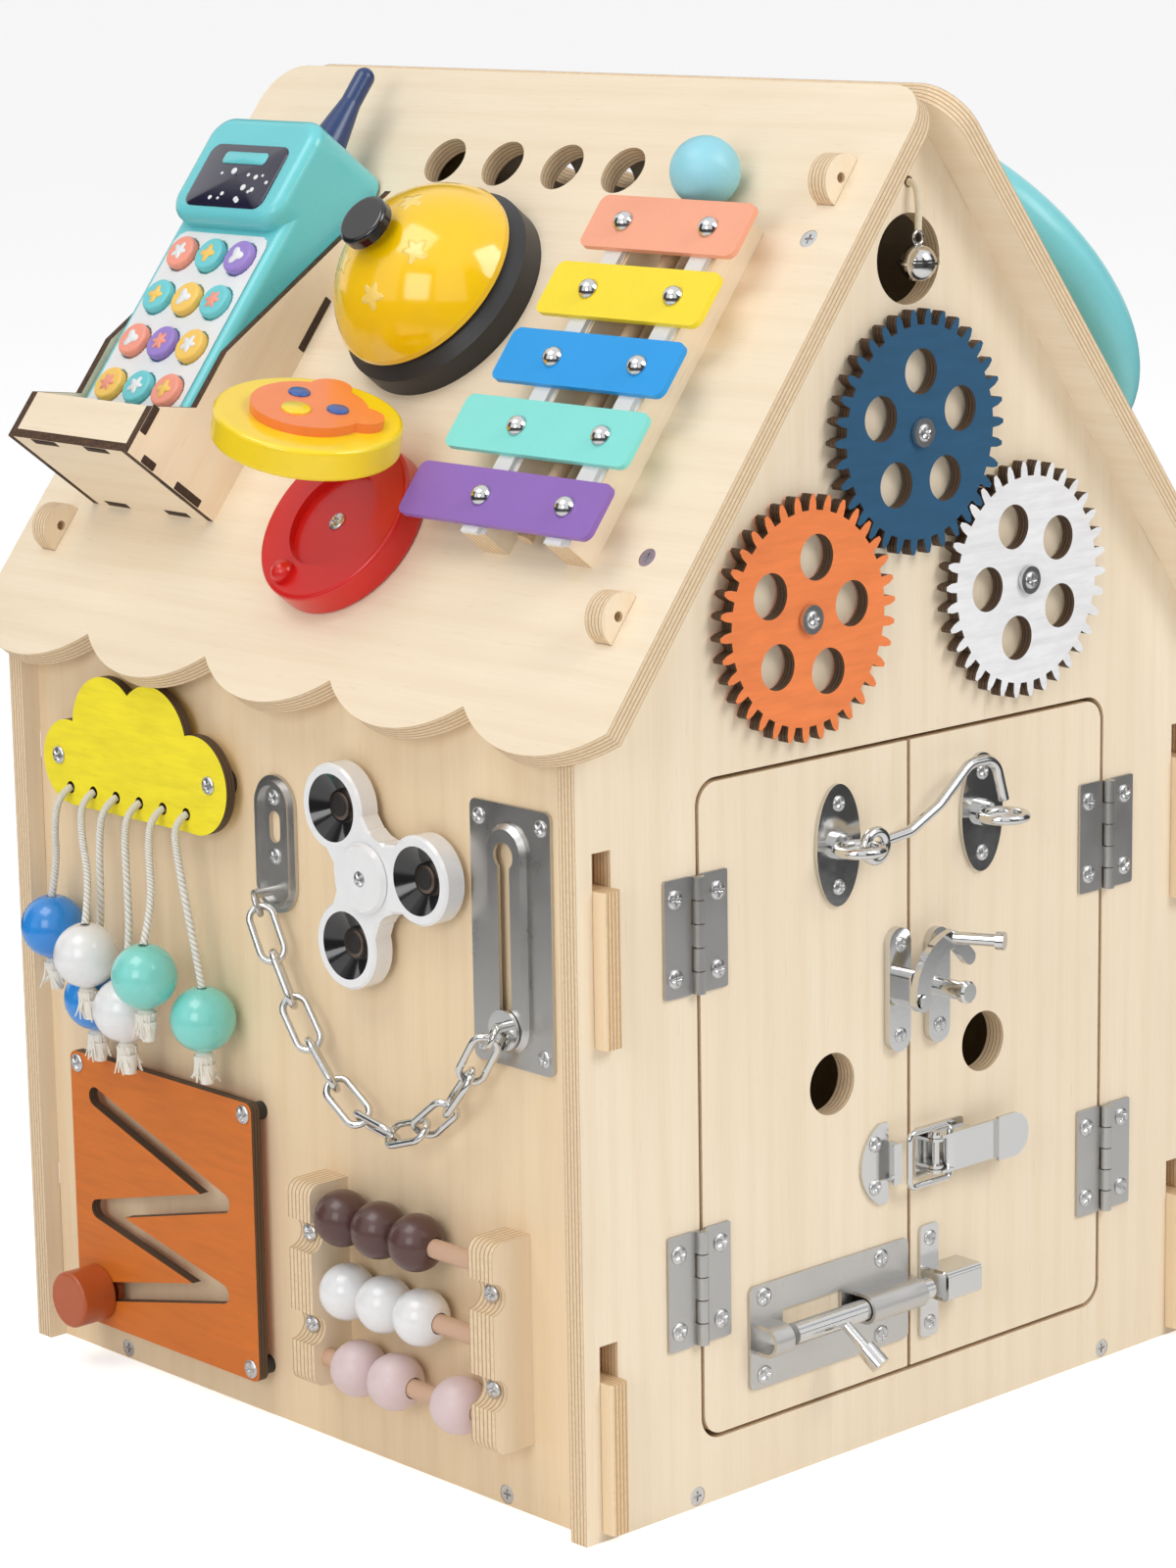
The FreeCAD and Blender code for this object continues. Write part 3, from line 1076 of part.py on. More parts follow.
def phone_body():
    """Toy handset: a flat body with a thicker head and a well for every key."""
    mid = (HOLD_U[0] + HOLD_U[1]) / 2
    half = (HOLD_U[1] - HOLD_U[0]) / 2 - HOLD_T - PHONE_GAP
    bottom = -HOLD_S[1] + HOLD_T + 1.0
    body = rounded(mid - half, mid + half, bottom, -66.0, 9.0, 1.5, PHONE_T)
    body = body.makeFillet(3.5, [e for e in body.Edges if abs(e.CenterOfMass.z - PHONE_T) < 0.1])
    head = rounded(mid - half, mid + half, -92.0, -52.0, 9.0, 1.5, 34.0)
    head = head.makeFillet(4.0, [e for e in head.Edges if abs(e.CenterOfMass.z - 34.0) < 0.1])
    antenna = Part.makeCone(7.0, 3.4, 22.0, V(mid + half - 17, -56.0, 16.0), V(0, 1, 0))
    tip = Part.makeCylinder(3.4, 10.0, V(mid + half - 17, -34.0, 16.0), V(0, 1, 0))
    end = ball(mid + half - 17, -24.0, 16.0, 3.4)
    wells = [cyl(mid + col * KEY_PITCH_U, -KEY_TOP_S - row * KEY_PITCH_S, KEY_R + KEY_GAP, PHONE_T - 3.0, 40)
             for row in range(4) for col in (-1, 0, 1)]
    return fuse([body, head]).cut(wells), fuse([antenna, tip, end])


def phone_keys():
    mid = (HOLD_U[0] + HOLD_U[1]) / 2
    out = []
    for row in range(4):
        for col in (-1, 0, 1):
            u, v = mid + col * KEY_PITCH_U, -KEY_TOP_S - row * KEY_PITCH_S
            key = cyl(u, v, KEY_R, PHONE_T - 1.8, PHONE_T + 2.8)
            out.append(key.makeFillet(0.9, [e for e in key.Edges if e.CenterOfMass.z > PHONE_T + 2.5]))
    return out


# Steering wheel on the right roof (u = +y)
WHEEL_C = (-62.0, -122.0)
WHEEL_R = 66.0
RIM_R = 9.0
WHEEL_W = 27.0


def steering_wheel():
    """Round rim on three spokes with a domed hub."""
    u, v = WHEEL_C
    rim = Part.makeTorus(WHEEL_R, RIM_R, V(u, v, WHEEL_W))
    hub = cyl(u, v, 18.0, WHEEL_W - 7, WHEEL_W + 4)
    dome = ball(u, v, WHEEL_W - 24, 33.0).common(cyl(u, v, 18.0, WHEEL_W + 3.5, WHEEL_W + 20))
    pieces = [rim, hub, dome]
    for k in range(3):
        a = radians(90 + 120 * k)
        end = V(u + WHEEL_R * cos(a), v + WHEEL_R * sin(a), WHEEL_W)
        spoke = Part.makeBox(WHEEL_R, 14.0, 7.0, V(0, -7.0, -3.5))
        spoke.rotate(V(0, 0, 0), V(0, 0, 1), degrees(a))
        spoke.translate(V(u, v, WHEEL_W))
        pieces.append(spoke)
    bore = cyl(u, v, 5.0 + PIVOT_FIT, WHEEL_W - 10, WHEEL_W - 1)
    return fuse(pieces).cut(bore)


def wheel_post():
    u, v = WHEEL_C
    return fuse([cyl(u, v, 22.0, 0.02, 5.0), Part.makeCone(14.0, 9.0, WHEEL_W - 13.0, V(u, v, 5.0)),
                 cyl(u, v, 5.0, WHEEL_W - 9, WHEEL_W - 1.5)])


def build_roof_toys():
    build_xylophone()
    save("mallet", mallet(), ROOF_L)
    build_call_bell()
    build_castanet()
    save("phone_holder", phone_holder(), ROOF_L)
    body, antenna = phone_body()
    save("toy_phone", [body, antenna.cut(body)], ROOF_L)
    save("phone_keys", phone_keys(), ROOF_L)
    save("steering_wheel", steering_wheel(), ROOF_R)


def build_posts():
    posts = [put(gear_pivot(u, v), GABLE) for u, v in gear_centres()]
    posts += [put(spinner_post(), WALL), put(wheel_post(), ROOF_R)]
    save("pivot_posts", posts)


def main():
    os.makedirs("parts", exist_ok=True)
    build_house()
    build_doors()
    build_door_hardware()
    build_gears()
    save("cloud_board", cloud_board(), WALL)
    build_ropes()
    build_chain()
    save("spinner", spinner_body(), WALL)
    save("maze_board", maze_board(), WALL)
    save("maze_knob", maze_knob(), WALL)
    build_abacus()
    build_roof_toys()
    build_posts()


main()
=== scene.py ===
from math import cos, pi, radians, sin

import bpy
import numpy as np
from bpy.props import FloatProperty, FloatVectorProperty, IntProperty, PointerProperty
from mathutils import Matrix, Vector


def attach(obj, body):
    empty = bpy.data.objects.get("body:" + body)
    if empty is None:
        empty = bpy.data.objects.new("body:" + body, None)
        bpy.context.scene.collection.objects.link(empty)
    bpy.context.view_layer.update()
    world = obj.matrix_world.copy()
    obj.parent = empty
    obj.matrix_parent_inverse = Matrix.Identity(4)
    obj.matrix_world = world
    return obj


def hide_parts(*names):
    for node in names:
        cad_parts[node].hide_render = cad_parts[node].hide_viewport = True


bl_info = {
    "name": "Busy House Looks",
    "version": (1, 0, 0),
    "blender": (4, 5, 0),
    "location": "3D View > Sidebar > Busy House",
    "description": "Dresses a packed wooden busy house with materials, screws, strings and a studio",
    "category": "Object",
}

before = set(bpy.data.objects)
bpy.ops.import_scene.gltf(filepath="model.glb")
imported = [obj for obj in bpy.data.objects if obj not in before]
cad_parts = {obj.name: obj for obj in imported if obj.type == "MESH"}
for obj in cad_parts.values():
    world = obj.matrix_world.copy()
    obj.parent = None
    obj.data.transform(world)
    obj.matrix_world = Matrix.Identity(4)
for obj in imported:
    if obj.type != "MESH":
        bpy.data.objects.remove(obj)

# Sizes of the case in metres, the same as the part's own
MM = 0.001
FRONT = -137.5 * MM      # outer face of the front gable
WALL_X = 133.6 * MM      # outer face of a side wall, from the middle
ROOF_APEX = 430.0 * MM   # where the two outer roof faces would meet
SLOPE = radians(52.15)
PLY = 7.0 * MM

# Places on the faces are in millimetres: u along the face, v up it and w out of it
HINGE_U = 92.9           # pins of the door hinges, either side of the middle
HINGE_Z = (70.0, 179.0)
HINGE_HOLE_Z = 12.0      # screw holes, above and below a hinge's middle
HINGE_LEAF = 13.0
KNUCKLE_R = 1.9
HINGE_HOLE_U = (KNUCKLE_R * 1.15 + HINGE_LEAF) / 2 + 1.2     # screw holes, out from the pin
LEAF_FACE = 0.9
HINGE_SCREW = (2.9, 1.1)     # radius and height of a screw's head

# Screws of each fitting: body, places, head radius and head height
LATCH_SCREWS = {
    "left_door_screws": ("left_door", [(-32.5, 183.0, 1.3), (-32.5, 209.0, 1.3), (-6.5, 131.5, 2.5),
                                       (-6.5, 160.5, 2.5)], 2.4, 1.0),
    "left_catch_screws": ("left_door", [(-16.6, 84.0, 1.1), (-16.6, 98.0, 1.1)], 2.5, 1.0),
    "bolt_screws": ("left_door", [(-66.0, 60.5, 1.1), (-66.0, 35.5, 1.1), (-14.0, 60.5, 1.1),
                                  (-14.0, 35.5, 1.1)], 2.9, 1.1),
    "right_door_screws": ("right_door", [(32.5, 183.0, 1.3), (32.5, 209.0, 1.3), (11.5, 131.5, 2.5),
                                         (11.5, 157.5, 2.5), (8.6, 62.0, 1.1), (8.6, 34.0, 1.1)], 2.5, 1.0),
}
GEAR_SCREWS = ("house", [(0, 319, 6.6), (-48.8, 268.1, 6.6), (48.8, 268.1, 6.6)], 2.7, 1.2)
CLOUD_SCREWS = ("house", [(-110.0, 206.0, 7.4), (-31.0, 207.0, 7.4)], 3.0, 1.3)
MAZE_SCREWS = ("house", [(-107.0, 102.0, 7.4), (-19.0, 102.0, 7.4), (-19.0, 17.0, 7.4)], 3.1, 1.3)
CHAIN_SCREWS = ("house", [(-6.0, 206.0, 1.3), (-6.0, 187.0, 1.3), (90.0, 145.0, 1.1), (117.0, 145.0, 1.1),
                          (90.0, 214.5, 1.1), (117.0, 214.5, 1.1)], 2.6, 1.0)
ABACUS_SCREWS = ("house", [(u, z, 11.0) for u in (17.5, 102.5) for z in (72.0, 42.0)], 3.0, 1.2)

WHEEL_POST_X = 30.0 * MM         # the wheel's post lies right of this
BOARD_BACK = 3.9         # the painted boards stand on spacers up to here
DOWEL_Y = (-96.95 * MM, -23.05 * MM)     # the abacus dowels between their brackets

SPIN_C = (47.0, 190.0)
SPIN_LOBE = 24.5         # from the spinner's middle to each cup's
SPIN_TURN = 127.0        # bearing of the first cup
CUP_R = 10.4
CUP_FLOOR = 6.0
RACE = (6.2, 4.4, 0.6)   # where it lies, radius and height of a cup's bearing race, and of the near-black disc of painted shade in its hole
RACE_HOLE_SHADE = (6.6, 3.2, 0.5)
SPIN_SCREW = ("house", [(*SPIN_C, 11.2)], 2.9, 1.0)

CLOUD_FACE = 7.5
ROPE_TOP = 196.0
ROPE_U = [-104.3, -92.0, -79.8, -67.5, -55.2, -43.0]
STRING_R = 1.2
BEAD_R = 10.6
BEAD_AT = [(-112.2, 148.6, 11.3), (-79.4, 146.4, 22.2), (-89.8, 128.2, 11.3),
           (-65.0, 130.0, 18.0), (-46.2, 145.6, 24.0), (-33.1, 131.5, 11.3)]
BEAD_COATS = [("bead_blue", "bead_white"), ("bead_blue", "bead_white"), ("bead_teal", "bead_teal")]

BARS = ("bar_salmon", "bar_yellow", "bar_blue", "bar_mint", "bar_purple")
BAR_TOP_S = 72.0         # first bar below the ridge, along the roof
BAR_PITCH = 24.3
BAR_REACH = 10.5
BAR_FACE = 15.65         # screw heads stand over this
RAIL_FACE = 12.0         # felt lies on this
BALL_START = -60.9

BELL_C = (-4.5, -95.5)
BASE_TOP = 12.5          # the chrome post starts here on the bell's base
DOME_FOOT = 15.5
DOME_RISE = 22.5
DOME_R = 33.0            # radius at its foot
DOME_COLLAR = 38.2       # the chrome collar starts here on the dome
BUTTON_FOOT = 41.5       # the button's chrome stem ends here
FLOWER_R = 3.6
FLOWER_LEVELS = ((1.0, 0.02), (0.97, 0.10), (0.6, 0.12), (0.02, 0.12))   # share of its radius, lift
FLOWERS = ((75, 24), (150, 33), (215, 26), (285, 34), (350, 28))     # bearing and tilt from the top, degrees

LID_C = (7.0, -181.0)
LID_DIR = radians(68.0)  # bearing of the hinge from the lid's middle
LID_OPEN = radians(50.0)
LID_HINGE_R = 28.0
LID_HINGE_W = 12.6
RELIEF_START = 25.3      # with the lid shut, orange above this
LID_SCREW = ("house", [(*LID_C, 7.5)], 3.0, 1.1)
SPOT_LEVELS = ((1.0, 28.1), (1.0, 28.6), (0.92, 28.9), (0.02, 28.9))
LID_SPOTS = ((-8.0, 4.0, 3.4, "castanet_blue"), (8.0, 4.0, 3.4, "castanet_blue"),
             (0.0, -6.0, 4.6, "castanet_yellow"))

HOLD_SIDE = -60.0        # outer side and outer front of the phone's holder
HOLD_FRONT = -184.0
CHEEK_U = (-120.95, -63.05)      # just inside its two sides
LIP_V = -180.9           # just inside its lowest board
ANTENNA_V = -51.9        # the antenna starts here
PHONE_U = -92.0          # phone's middle line
KEY_TOP_V = -103.0
KEY_PITCH_U = 15.0
KEY_PITCH_V = 17.0
KEY_WELL_R = 6.5
KEY_FACE = 29.75
ICON_R = 2.6
KEY_PATTERN = (0, 1, 2, 1, 3, 1, 3, 0, 2, 2, 1, 3)       # colour of each key, row by row
KEY_PAINTS = [(0.33, 0.22, 0.62), (0.16, 0.62, 0.66), (0.93, 0.34, 0.24), (0.95, 0.60, 0.12)]
SHEET_HALF = (24.0, 35.25)       # half width and half length of the white keypad sheet
SHEET_V = -129.25
SHEET_W = 27.25
SHEET_ROUND = 5.0        # its corner radius
SHEET_GRID = (97, 142)   # points along each way
DISPLAY = (-112.0, -72.0, -88.0, -64.0, 4.0)     # sides and corner radius
DISPLAY_BAR = (-103.0, -81.0, -71.5, -67.0, 1.5)
DISPLAY_W = 33.9
DISPLAY_FACE = 34.4
DOTS_U, DOTS_V, DOTS_R = (-109, -75), (-85.5, -74), (0.5, 1.3)   # ranges of their places and radii
DOTS_SEED = 5

# Burnt ends of the finger joints on the holder: from, to along and from, to across
TAB_ROUND, TAB_FOOT, TAB_HEIGHT = 0.4, -0.2, 0.3         # corner radius, where they start, and height
SIDE_TABS = [(-176.0, -166.0, 39.0, 41.9), (-152.0, -142.0, 0.3, 3.2), (-120.0, -100.0, 0.3, 3.2),
             (-88.0, -71.0, 0.3, 3.0), (-183.8, -181.0, 8.0, 20.0), (-183.8, -181.0, 30.0, 36.0)]
FRONT_TABS = [(-112.0, -99.0, 39.0, 41.8), (-84.0, -72.0, 39.0, 41.8), (-115.0, -103.0, 0.4, 3.2),
              (-83.0, -71.0, 0.4, 3.2), (-63.0, -60.2, 12.0, 24.0), (-123.8, -121.0, 12.0, 24.0)]


# Face frames, the same as the part's own

def gable(u, v, w):
    """Front gable."""
    return np.array([u * MM, FRONT - w * MM, v * MM])


def wall(u, v, w):
    """Left wall."""
    return np.array([-WALL_X - w * MM, -u * MM, v * MM])


def roof_left(u, v, w):
    """Left roof face, from the ridge."""
    x = cos(SLOPE) * v - sin(SLOPE) * w
    return np.array([x * MM, -u * MM, ROOF_APEX + (sin(SLOPE) * v + cos(SLOPE) * w) * MM])


def roof_right(u, v, w):
    """Right roof face, from the ridge."""
    x = -cos(SLOPE) * v + sin(SLOPE) * w
    return np.array([x * MM, u * MM, ROOF_APEX + (sin(SLOPE) * v + cos(SLOPE) * w) * MM])


def holder_side(v, w, lift):
    """Outer side of the phone's holder."""
    return roof_left(HOLD_SIDE + lift, v, w)


def holder_front(u, w, lift):
    """Outer front of the phone's holder."""
    return roof_left(u, HOLD_FRONT - lift, w)


# Unit directions of u, v and w on each face
AXES = {
    gable: ((1, 0, 0), (0, 0, 1), (0, -1, 0)),
    wall: ((0, -1, 0), (0, 0, 1), (-1, 0, 0)),
    roof_left: ((0, -1, 0), (cos(SLOPE), 0, sin(SLOPE)), (-sin(SLOPE), 0, cos(SLOPE))),
    roof_right: ((0, 1, 0), (-cos(SLOPE), 0, sin(SLOPE)), (sin(SLOPE), 0, cos(SLOPE))),
}
AXES[holder_side] = (AXES[roof_left][1], AXES[roof_left][2], AXES[roof_left][0])
AXES[holder_front] = (AXES[roof_left][0], AXES[roof_left][2], tuple(-a for a in AXES[roof_left][1]))


def along(face, axis, points):
    """Coordinate of world points on a face, in millimetres: axis 0 is u, 1 is v and 2 is w."""
    return (points - face(0, 0, 0)) @ np.array(AXES[face][axis]) / MM


def placed(face, points, origin=(0, 0, 0)):
    """World places of (u, v, w) points, in millimetres from an origin on a face."""
    return face(*origin) + points * MM @ np.array(AXES[face])


def over(face, axis, limit):
    """A mask for what lies past a limit along one axis of a face."""
    return lambda c: along(face, axis, c) > limit


def under(face, axis, limit):
    """A mask for what lies short of a limit along one axis of a face."""
    return lambda c: along(face, axis, c) < limit


# Node building

def socket(tree, value, target):
    """Links a node socket, or sets a constant, on the target socket."""
    if isinstance(value, bpy.types.NodeSocket):
        tree.links.new(value, target)
    else:
        target.default_value = value


def node(tree, kind, inputs=None, **settings):
    """A new node with its settings and its inputs."""
    made = tree.nodes.new(kind)
    for key, value in settings.items():
        setattr(made, key, value)
    for key, value in (inputs or {}).items():
        socket(tree, value, made.inputs[key])
    return made


def maths(tree, operation, a, b=0.0):
    """One step of arithmetic on values."""
    return node(tree, "ShaderNodeMath", {0: a, 1: b}, operation=operation).outputs[0]


def dot(tree, a, b):
    """How far vector a reaches along b."""
    return node(tree, "ShaderNodeVectorMath", {0: a, 1: b}, operation="DOT_PRODUCT").outputs["Value"]


def stretch(tree, vector, scale):
    """The vector times a scale on each axis."""
    return node(tree, "ShaderNodeVectorMath", {0: vector, 1: scale}, operation="MULTIPLY").outputs[0]


def blend(tree, factor, a, b, kind="MIX"):
    """Colour a where the factor is 0 and b where it is 1, or their product."""
    made = node(tree, "ShaderNodeMix", data_type="RGBA", blend_type=kind)
    for name, value in (("Factor_Float", factor), ("A_Color", a), ("B_Color", b)):
        target = next(s for s in made.inputs if s.identifier == name)
        socket(tree, value, target)
    return next(s for s in made.outputs if s.identifier == "Result_Color")


def noise(tree, vector, scale, detail=3.0, rough=0.5, distortion=0.0):
    """Cloudy noise from 0 to 1."""
    made = node(tree, "ShaderNodeTexNoise", {
        "Vector": vector, "Scale": scale, "Detail": detail, "Roughness": rough, "Distortion": distortion})
    return made.outputs["Fac"]


def spread(tree, value, low, high, to_low=0.0, to_high=1.0):
    """Carries the range from low to high onto another one, and stops at its ends."""
    made = node(tree, "ShaderNodeMapRange", {
        "Value": value, "From Min": low, "From Max": high, "To Min": to_low, "To Max": to_high})
    return made.outputs[0]


def ply_stripes(tree, depth, thickness, waves):
    """|sin| of the depth through a panel: one hump for each ply."""
    turns = maths(tree, "MULTIPLY", maths(tree, "DIVIDE", depth, thickness), waves * pi)
    return maths(tree, "ABSOLUTE", maths(tree, "SINE", turns))


def new_group(name, inputs, outputs):
    """A node group with named sockets; returns the tree, its inputs and the sockets that it gives out."""
    tree = bpy.data.node_groups.new(name, "ShaderNodeTree")
    for way, labels in (("INPUT", inputs), ("OUTPUT", outputs)):
        for label, kind in labels.items():
            tree.interface.new_socket(label, in_out=way, socket_type="NodeSocket" + kind)
    return tree, tree.nodes.new("NodeGroupInput").outputs, tree.nodes.new("NodeGroupOutput").inputs


# Colours of birch plywood
VENEER = (0.87, 0.73, 0.54, 1), (0.91, 0.79, 0.61, 1)
RING_BROWN = (0.76, 0.56, 0.34, 1)
FIBRE_BROWN = (0.74, 0.55, 0.35, 1)
FLECK_BROWN = (0.62, 0.42, 0.24, 1)
PLIES = (0.42, 0.27, 0.15, 1), (0.84, 0.66, 0.44, 1)
END_GRAIN_BROWN = (0.50, 0.34, 0.20, 1)
CHAR = (0.035, 0.017, 0.009, 1), (0.13, 0.065, 0.03, 1)
BOARD_CHAR = (0.02, 0.012, 0.008, 1), (0.11, 0.062, 0.034, 1)
PANEL_PLIES = 5
BOARD_PLIES = 3

# Figure of the veneer: how fine it is along the grain, across it and through the panel
BROAD_FIGURE = (3.2, 16.0, 16.0)
RING_FIGURE = (1.8, 26.0, 5.0)
FIBRE_FIGURE = (30.0, 900.0, 900.0)
FLECK_FIGURE = (90.0, 1100.0, 900.0)
BRUSH_STREAKS = (60.0, 60.0, 420.0)      # of a paint, on the axes of the world
END_GRAIN_SCALE = 700.0

# What darkens a paint where it is worn or mottled, and the painted shade in the grooves between a cord's
# strands
WORN = (0.72, 0.70, 0.68, 1)
MOTTLED = (0.82, 0.81, 0.80, 1)
LAY_SHADE = (0.55, 0.52, 0.47, 1)


def plywood_group():
    """Rotary-cut veneer on the faces and alternating plies on the edges of a panel."""
    tree, g, out = new_group("plywood", {
        "Point": "Vector", "Normal": "Vector", "Through": "Vector", "Grain": "Vector", "Across": "Vector",
        "Offset": "Float", "Thickness": "Float", "Burn": "Float"},
        {"Color": "Color", "Height": "Float"})
    depth = maths(tree, "SUBTRACT", dot(tree, g["Point"], g["Through"]), g["Offset"])
    lie = node(tree, "ShaderNodeCombineXYZ", {
        0: dot(tree, g["Point"], g["Grain"]), 1: dot(tree, g["Point"], g["Across"]), 2: depth}).outputs[0]
    broad = noise(tree, stretch(tree, lie, BROAD_FIGURE), 1.6, 3.0, 0.5, 0.9)
    rings = node(tree, "ShaderNodeTexWave", {
        "Vector": stretch(tree, lie, RING_FIGURE), "Scale": 1.1, "Distortion": 5.5, "Detail": 2.0,
        "Detail Scale": 1.2}, wave_type="BANDS", bands_direction="Y").outputs["Fac"]
    fibre = noise(tree, stretch(tree, lie, FIBRE_FIGURE), 1.0, 2.0, 0.6)
    fleck = noise(tree, stretch(tree, lie, FLECK_FIGURE), 1.0, 1.0, 0.5)
    tone = blend(tree, spread(tree, broad, 0.3, 0.72), *VENEER)
    tone = blend(tree, spread(tree, rings, 0.55, 1.0, 0.0, 0.13), tone, RING_BROWN)
    tone = blend(tree, spread(tree, fibre, 0.35, 0.7, 0.0, 0.13), tone, FIBRE_BROWN)
    tone = blend(tree, spread(tree, fleck, 0.68, 0.78, 0.0, 0.20), tone, FLECK_BROWN)
    side = maths(tree, "SUBTRACT", 1.0, maths(tree, "ABSOLUTE", dot(tree, g["Normal"], g["Through"])))
    edge = spread(tree, side, 0.25, 0.6)
    stripe = spread(tree, ply_stripes(tree, depth, g["Thickness"], PANEL_PLIES), 0.15, 0.6)
    end_grain = noise(tree, g["Point"], END_GRAIN_SCALE, 2.0, 0.7)
    plies = blend(tree, stripe, *PLIES)
    plies = blend(tree, spread(tree, end_grain, 0.3, 0.7, 0.0, 0.35), plies, END_GRAIN_BROWN)
    burnt = blend(tree, spread(tree, end_grain, 0.3, 0.8), *CHAR)
    plies = blend(tree, g["Burn"], plies, burnt)
    socket(tree, blend(tree, edge, tone, plies), out["Color"])
    ridges = maths(tree, "MULTIPLY", stripe, edge)
    socket(tree, maths(tree, "ADD", maths(tree, "MULTIPLY", fibre, 0.5), ridges), out["Height"])
    return tree


def cut_paint_group():
    """Painted face over veneer whose laser-cut edges are burnt dark."""
    tree, g, out = new_group("cut_paint", {
        "Point": "Vector", "Normal": "Vector", "Through": "Vector", "Paint": "Color",
        "Offset": "Float", "Thickness": "Float"}, {"Color": "Color", "Height": "Float"})
    facing = maths(tree, "ABSOLUTE", dot(tree, g["Normal"], g["Through"]))
    streak = noise(tree, stretch(tree, g["Point"], BRUSH_STREAKS), 1.0, 3.0, 0.6)
    mottle = noise(tree, g["Point"], 45.0, 3.0, 0.6)
    dark = blend(tree, 1.0, g["Paint"], WORN, "MULTIPLY")
    paint = blend(tree, spread(tree, streak, 0.35, 0.75, 0.0, 0.55), g["Paint"], dark)
    paint = blend(tree, spread(tree, mottle, 0.3, 0.8, 0.0, 0.25), paint, dark)
    depth = maths(tree, "SUBTRACT", dot(tree, g["Point"], g["Through"]), g["Offset"])
    stripe = spread(tree, ply_stripes(tree, depth, g["Thickness"], BOARD_PLIES), 0.2, 0.8)
    burnt = blend(tree, stripe, *BOARD_CHAR)
    socket(tree, blend(tree, spread(tree, facing, 0.75, 0.9), burnt, paint), out["Color"])
    socket(tree, streak, out["Height"])
    return tree


def metal_group():
    """Fine brush lines and smudges for roughness, with a height for the bump."""
    tree, g, out = new_group("metal_wear", {
        "Point": "Vector", "Brush": "Vector", "Base": "Float", "Depth": "Float"},
        {"Roughness": "Float", "Height": "Float", "Shade": "Float"})
    lines = noise(tree, stretch(tree, g["Point"], g["Brush"]), 1.0, 3.0, 0.65)
    smudge = noise(tree, g["Point"], 70.0, 3.0, 0.6)
    rough = maths(tree, "ADD", g["Base"], maths(tree, "MULTIPLY", spread(tree, smudge, 0.3, 0.8), 0.12))
    socket(tree, maths(tree, "ADD", rough, maths(tree, "MULTIPLY", lines, g["Depth"])), out["Roughness"])
    socket(tree, lines, out["Height"])
    socket(tree, spread(tree, smudge, 0.2, 0.9, 0.9, 1.0), out["Shade"])
    return tree


def coat_group():
    """Slow mottling of a painted or moulded colour, with fine orange peel."""
    tree, g, out = new_group("even_coat", {
        "Point": "Vector", "Paint": "Color", "Grain": "Float", "Base": "Float"},
        {"Color": "Color", "Roughness": "Float", "Height": "Float"})
    slow = noise(tree, g["Point"], 28.0, 3.0, 0.55)
    fine = noise(tree, g["Point"], g["Grain"], 2.0, 0.5)
    dark = blend(tree, 1.0, g["Paint"], MOTTLED, "MULTIPLY")
    tone = blend(tree, spread(tree, slow, 0.25, 0.8, 0.0, 0.35), g["Paint"], dark)
    socket(tree, blend(tree, spread(tree, fine, 0.5, 0.9, 0.0, 0.25), tone, dark), out["Color"])
    rough = maths(tree, "ADD", g["Base"], spread(tree, slow, 0.3, 0.8, -0.03, 0.07))
    socket(tree, rough, out["Roughness"])
    socket(tree, fine, out["Height"])
    return tree


def twist_group():
    """Twisted strands seen across a cord, from its own texture coordinates, with painted shade in the
    grooves between them.
    """
    tree, g, out = new_group("twist", {"Coordinate": "Vector", "Pitch": "Float", "Paint": "Color"},
                             {"Color": "Color", "Height": "Float"})
    parts = node(tree, "ShaderNodeSeparateXYZ", {0: g["Coordinate"]}).outputs
    lean = maths(tree, "ADD", maths(tree, "MULTIPLY", parts[0], g["Pitch"]),
                 maths(tree, "MULTIPLY", parts[1], 3.0))
    strand = maths(tree, "ABSOLUTE", maths(tree, "SINE", maths(tree, "MULTIPLY", lean, pi)))
    fuzz = noise(tree, g["Coordinate"], 160.0, 3.0, 0.7)
    dark = blend(tree, 1.0, g["Paint"], LAY_SHADE, "MULTIPLY")
    # painted shade: the cord's colour darkens in the grooves between its strands
    socket(tree, blend(tree, spread(tree, strand, 0.0, 0.6), dark, g["Paint"]), out["Color"])
    socket(tree, maths(tree, "ADD", strand, maths(tree, "MULTIPLY", fuzz, 0.3)), out["Height"])
    return tree


GROUP_MAKERS = {"plywood": plywood_group, "cut_paint": cut_paint_group, "metal_wear": metal_group,
                "even_coat": coat_group, "twist": twist_group}
GROUPS = {}


def use_group(tree, name, inputs):
    """Places a node group in a material; each group is built once."""
    if name not in GROUPS:
        GROUPS[name] = GROUP_MAKERS[name]()
    made = tree.nodes.new("ShaderNodeGroup")
    made.node_tree = GROUPS[name]
    for key, value in inputs.items():
        socket(tree, value, made.inputs[key])
    return made.outputs


# Materials

MATERIALS = {}


def start_material(name):
    """A new material, kept under its name; returns its tree, its shader and its coordinates."""
    mat = bpy.data.materials.new(name)
    mat.use_nodes = True
    MATERIALS[name] = mat
    tree = mat.node_tree
    return tree, tree.nodes["Principled BSDF"], tree.nodes.new("ShaderNodeTexCoord").outputs


def bump(tree, shader, height, strength, distance=0.2 * MM):
    """Tilts the shader's normal by a height."""
    made = node(tree, "ShaderNodeBump", {"Height": height, "Strength": strength, "Distance": distance})
    tree.links.new(made.outputs["Normal"], shader.inputs["Normal"])


